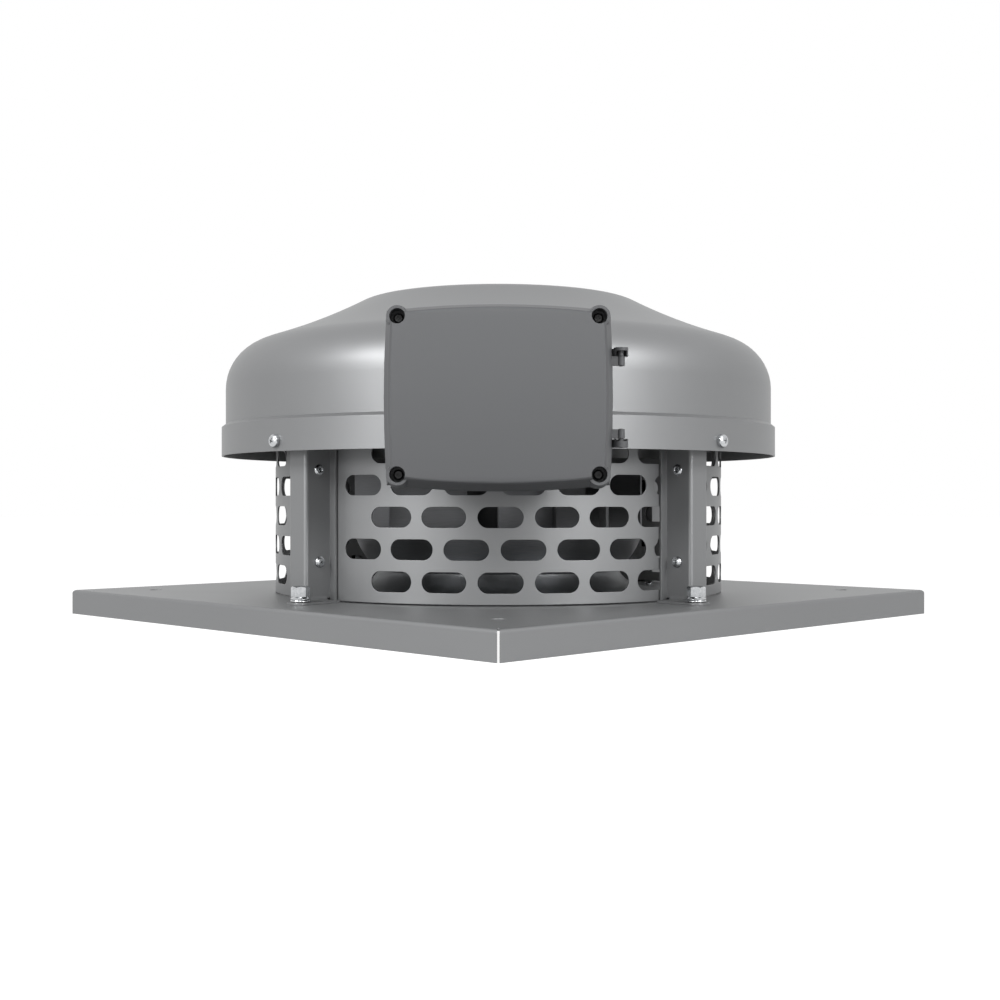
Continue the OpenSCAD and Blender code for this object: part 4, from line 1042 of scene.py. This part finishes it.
class ROOFFAN_OT_metal(bpy.types.Operator):
    """Coats the sheet metal and finishes the fasteners"""

    bl_idname = "rooffan.metal"
    bl_label = "Sheet metal and fasteners"

    def execute(self, context):
        colours = context.scene.rooffan_colours
        dress("grey_coat", powder_coat(colours))
        dress("galvanised_sheet", galvanised(colours))
        dress("zinc_plate", zinc_plate(colours))
        dress("sealing_rubber", rubber(colours))
        one_skin("cowl", "inlet_nozzle")
        return {"FINISHED"}


class ROOFFAN_OT_bolts(bpy.types.Operator):
    """Makes the foot bolts, the screws of legs and cowl, and the rivets"""

    bl_idname = "rooffan.bolts"
    bl_label = "Bolts, screws and rivets"

    def execute(self, context):
        sizes = context.scene.rooffan_fasteners
        foot_bolts(sizes)
        foot_washers(sizes)
        pan_screws(sizes)
        leg_rivets(sizes)
        return {"FINISHED"}


class ROOFFAN_OT_motor(bpy.types.Operator):
    """Finishes the motor and the impeller"""

    bl_idname = "rooffan.motor"
    bl_label = "Motor and impeller"

    def execute(self, context):
        colours = context.scene.rooffan_colours
        dress("cast_aluminium", cast_aluminium(colours))
        dress("electrical_steel", laminations(colours))
        dress("winding_enamel", winding_wire(colours))
        dress("bearing_steel", ground_steel(colours))
        dress("rotor_coat", rotor_paint(colours))
        dress("impeller_sheet", impeller_sheet(colours))
        one_skin("impeller_shroud", "rotor_bell")
        return {"FINISHED"}


class ROOFFAN_OT_box(bpy.types.Operator):
    """Finishes the control box and what it holds"""

    bl_idname = "rooffan.box"
    bl_label = "Control box"

    def execute(self, context):
        colours = context.scene.rooffan_colours
        dress("box_plastic", box_plastic(colours))
        dress("gland_plastic", black_polyamide(colours))
        dress("part_plastic", black_pbt(colours))
        dress("terminal_plastic", pale_polyamide(colours))
        dress("board_laminate", board_laminate(colours))
        one_skin("box_lid")
        return {"FINISHED"}


class ROOFFAN_OT_glands(bpy.types.Operator):
    """Makes the cable glands with their ribbed cap nuts, seals and lock nuts"""

    bl_idname = "rooffan.glands"
    bl_label = "Cable glands"

    def execute(self, context):
        sizes = context.scene.rooffan_box
        gland, seal = bmesh.new(), bmesh.new()
        gland_nuts(gland, sizes)
        gland_cap(gland, sizes)
        gland_stem(gland, sizes)
        gland_seal(seal, sizes)
        places = seats("cable_glands", backward, MOUTH)
        glands, seals = repeat(gland, places), repeat(seal, places)
        put("Cable_glands", glands, BLACK_POLYAMIDE, "frame", ["cable_glands"])
        put("Gland_seals", seals, RUBBER, "frame", ["cable_glands"])
        return {"FINISHED"}


class ROOFFAN_OT_terminals(bpy.types.Operator):
    """Makes the terminal block and the parts on the circuit board"""

    bl_idname = "rooffan.terminals"
    bl_label = "Terminals and board parts"

    def execute(self, context):
        terminal_block(context.scene.rooffan_box)
        board_parts()
        return {"FINISHED"}


class ROOFFAN_OT_stage(bpy.types.Operator):
    """Sets up the floor, the lamps, the world and the camera"""

    bl_idname = "rooffan.stage"
    bl_label = "Studio"

    # Each soft box: azimuth and elevation in degrees, width and height in metres, power in watts
    lamps = (
        ("Box_left", -46, 32, 0.7, 0.7, 35),
        ("Box_right", 44, 32, 0.7, 0.7, 29),
        ("Box_front", 0, 25, 0.6, 0.6, 8),
        ("Strip_low_left", -40, 10, 0.6, 0.4, 13),
        ("Strip_low_right", 38, 10, 0.6, 0.4, 14),
        ("Strip_top", 0, 62, 0.6, 0.6, 4),
    )

    def floor(self, scene):
        half = scene.rooffan_studio.floor_size / 2
        shape = bpy.data.meshes.new("Floor")
        shape.from_pydata([(x * half, y * half, 0) for x, y in SQUARE], [], [(0, 1, 2, 3)])
        shape.materials.append(studio_paper(scene.rooffan_colours))
        floor = bpy.data.objects.new("Floor", shape)
        scene.collection.objects.link(floor)

    def room(self, scene):
        world = bpy.data.worlds.new("Studio")
        scene.world = world
        world.use_nodes = True
        tree = world.node_tree
        tree.nodes.clear()
        strength = scene.rooffan_studio.fill
        fill = add(tree, "ShaderNodeBackground", {"Color": (1.0, 1.0, 1.0, 1.0), "Strength": strength})
        shown = shown_white(tree, fill)
        add(tree, "ShaderNodeOutputWorld", links={"Surface": shown.outputs[0]})

    def soft_boxes(self, scene):
        studio = scene.rooffan_studio
        for name, azimuth, elevation, width, height, power in self.lamps:
            light = bpy.data.lights.new(name, "AREA")
            light.shape = "RECTANGLE"
            light.size = width
            light.size_y = height
            light.energy = power
            lamp = bpy.data.objects.new(name, light)
            spot = toward(math.radians(azimuth), math.radians(elevation), studio.lamp_distance)
            lamp.location = spot + Vector((0, 0, studio.lamp_aim))
            lamp.rotation_euler = spot.to_track_quat("Z", "Y").to_euler()
            scene.collection.objects.link(lamp)

    def camera(self, scene):
        studio = scene.rooffan_studio
        lens = bpy.data.cameras.new("Camera")
        lens.lens = studio.lens
        lens.sensor_width = 36.0
        lens.shift_x = (PHOTO_SIDE / 2 - AXIS_COLUMN) / PHOTO_SIDE
        camera = bpy.data.objects.new("Camera", lens)
        spot = toward(0.0, 0.0, studio.camera_distance)
        camera.location = (spot.x, spot.y, studio.camera_height)
        camera.rotation_euler = (math.radians(90), 0.0, BOX_ANGLE + math.radians(90))
        scene.collection.objects.link(camera)
        scene.camera = camera

    def execute(self, context):
        scene = context.scene
        self.floor(scene)
        self.room(scene)
        self.soft_boxes(scene)
        self.camera(scene)
        scene.view_settings.view_transform = "Standard"
        return {"FINISHED"}


GROUPS = {
    "rooffan_colours": ROOFFAN_PG_colours,
    "rooffan_fasteners": ROOFFAN_PG_fasteners,
    "rooffan_box": ROOFFAN_PG_box,
    "rooffan_studio": ROOFFAN_PG_studio,
}
OPERATORS = (
    ROOFFAN_OT_metal,
    ROOFFAN_OT_bolts,
    ROOFFAN_OT_motor,
    ROOFFAN_OT_box,
    ROOFFAN_OT_glands,
    ROOFFAN_OT_terminals,
    ROOFFAN_OT_stage,
)


class ROOFFAN_PT_panel(bpy.types.Panel):
    """Lists the steps and the values that they use"""

    bl_label = "Roof fan"
    bl_idname = "ROOFFAN_PT_panel"
    bl_space_type = "VIEW_3D"
    bl_region_type = "UI"
    bl_category = "Roof fan"

    def draw(self, context):
        for item in OPERATORS:
            self.layout.operator(item.bl_idname)
        for name, kind in GROUPS.items():
            box = self.layout.box()
            for value in kind.__annotations__:
                box.prop(getattr(context.scene, name), value)


CLASSES = (*GROUPS.values(), *OPERATORS, ROOFFAN_PT_panel)


def register():
    for item in CLASSES:
        bpy.utils.register_class(item)
    for name, kind in GROUPS.items():
        setattr(bpy.types.Scene, name, bpy.props.PointerProperty(type=kind))


def unregister():
    for name in GROUPS:
        delattr(bpy.types.Scene, name)
    for item in reversed(CLASSES):
        bpy.utils.unregister_class(item)


def main():
    register()
    bpy.ops.rooffan.metal()
    bpy.ops.rooffan.bolts()
    bpy.ops.rooffan.motor()
    bpy.ops.rooffan.box()
    bpy.ops.rooffan.glands()
    bpy.ops.rooffan.terminals()
    bpy.ops.rooffan.stage()


if __name__ == "__main__":
    main()
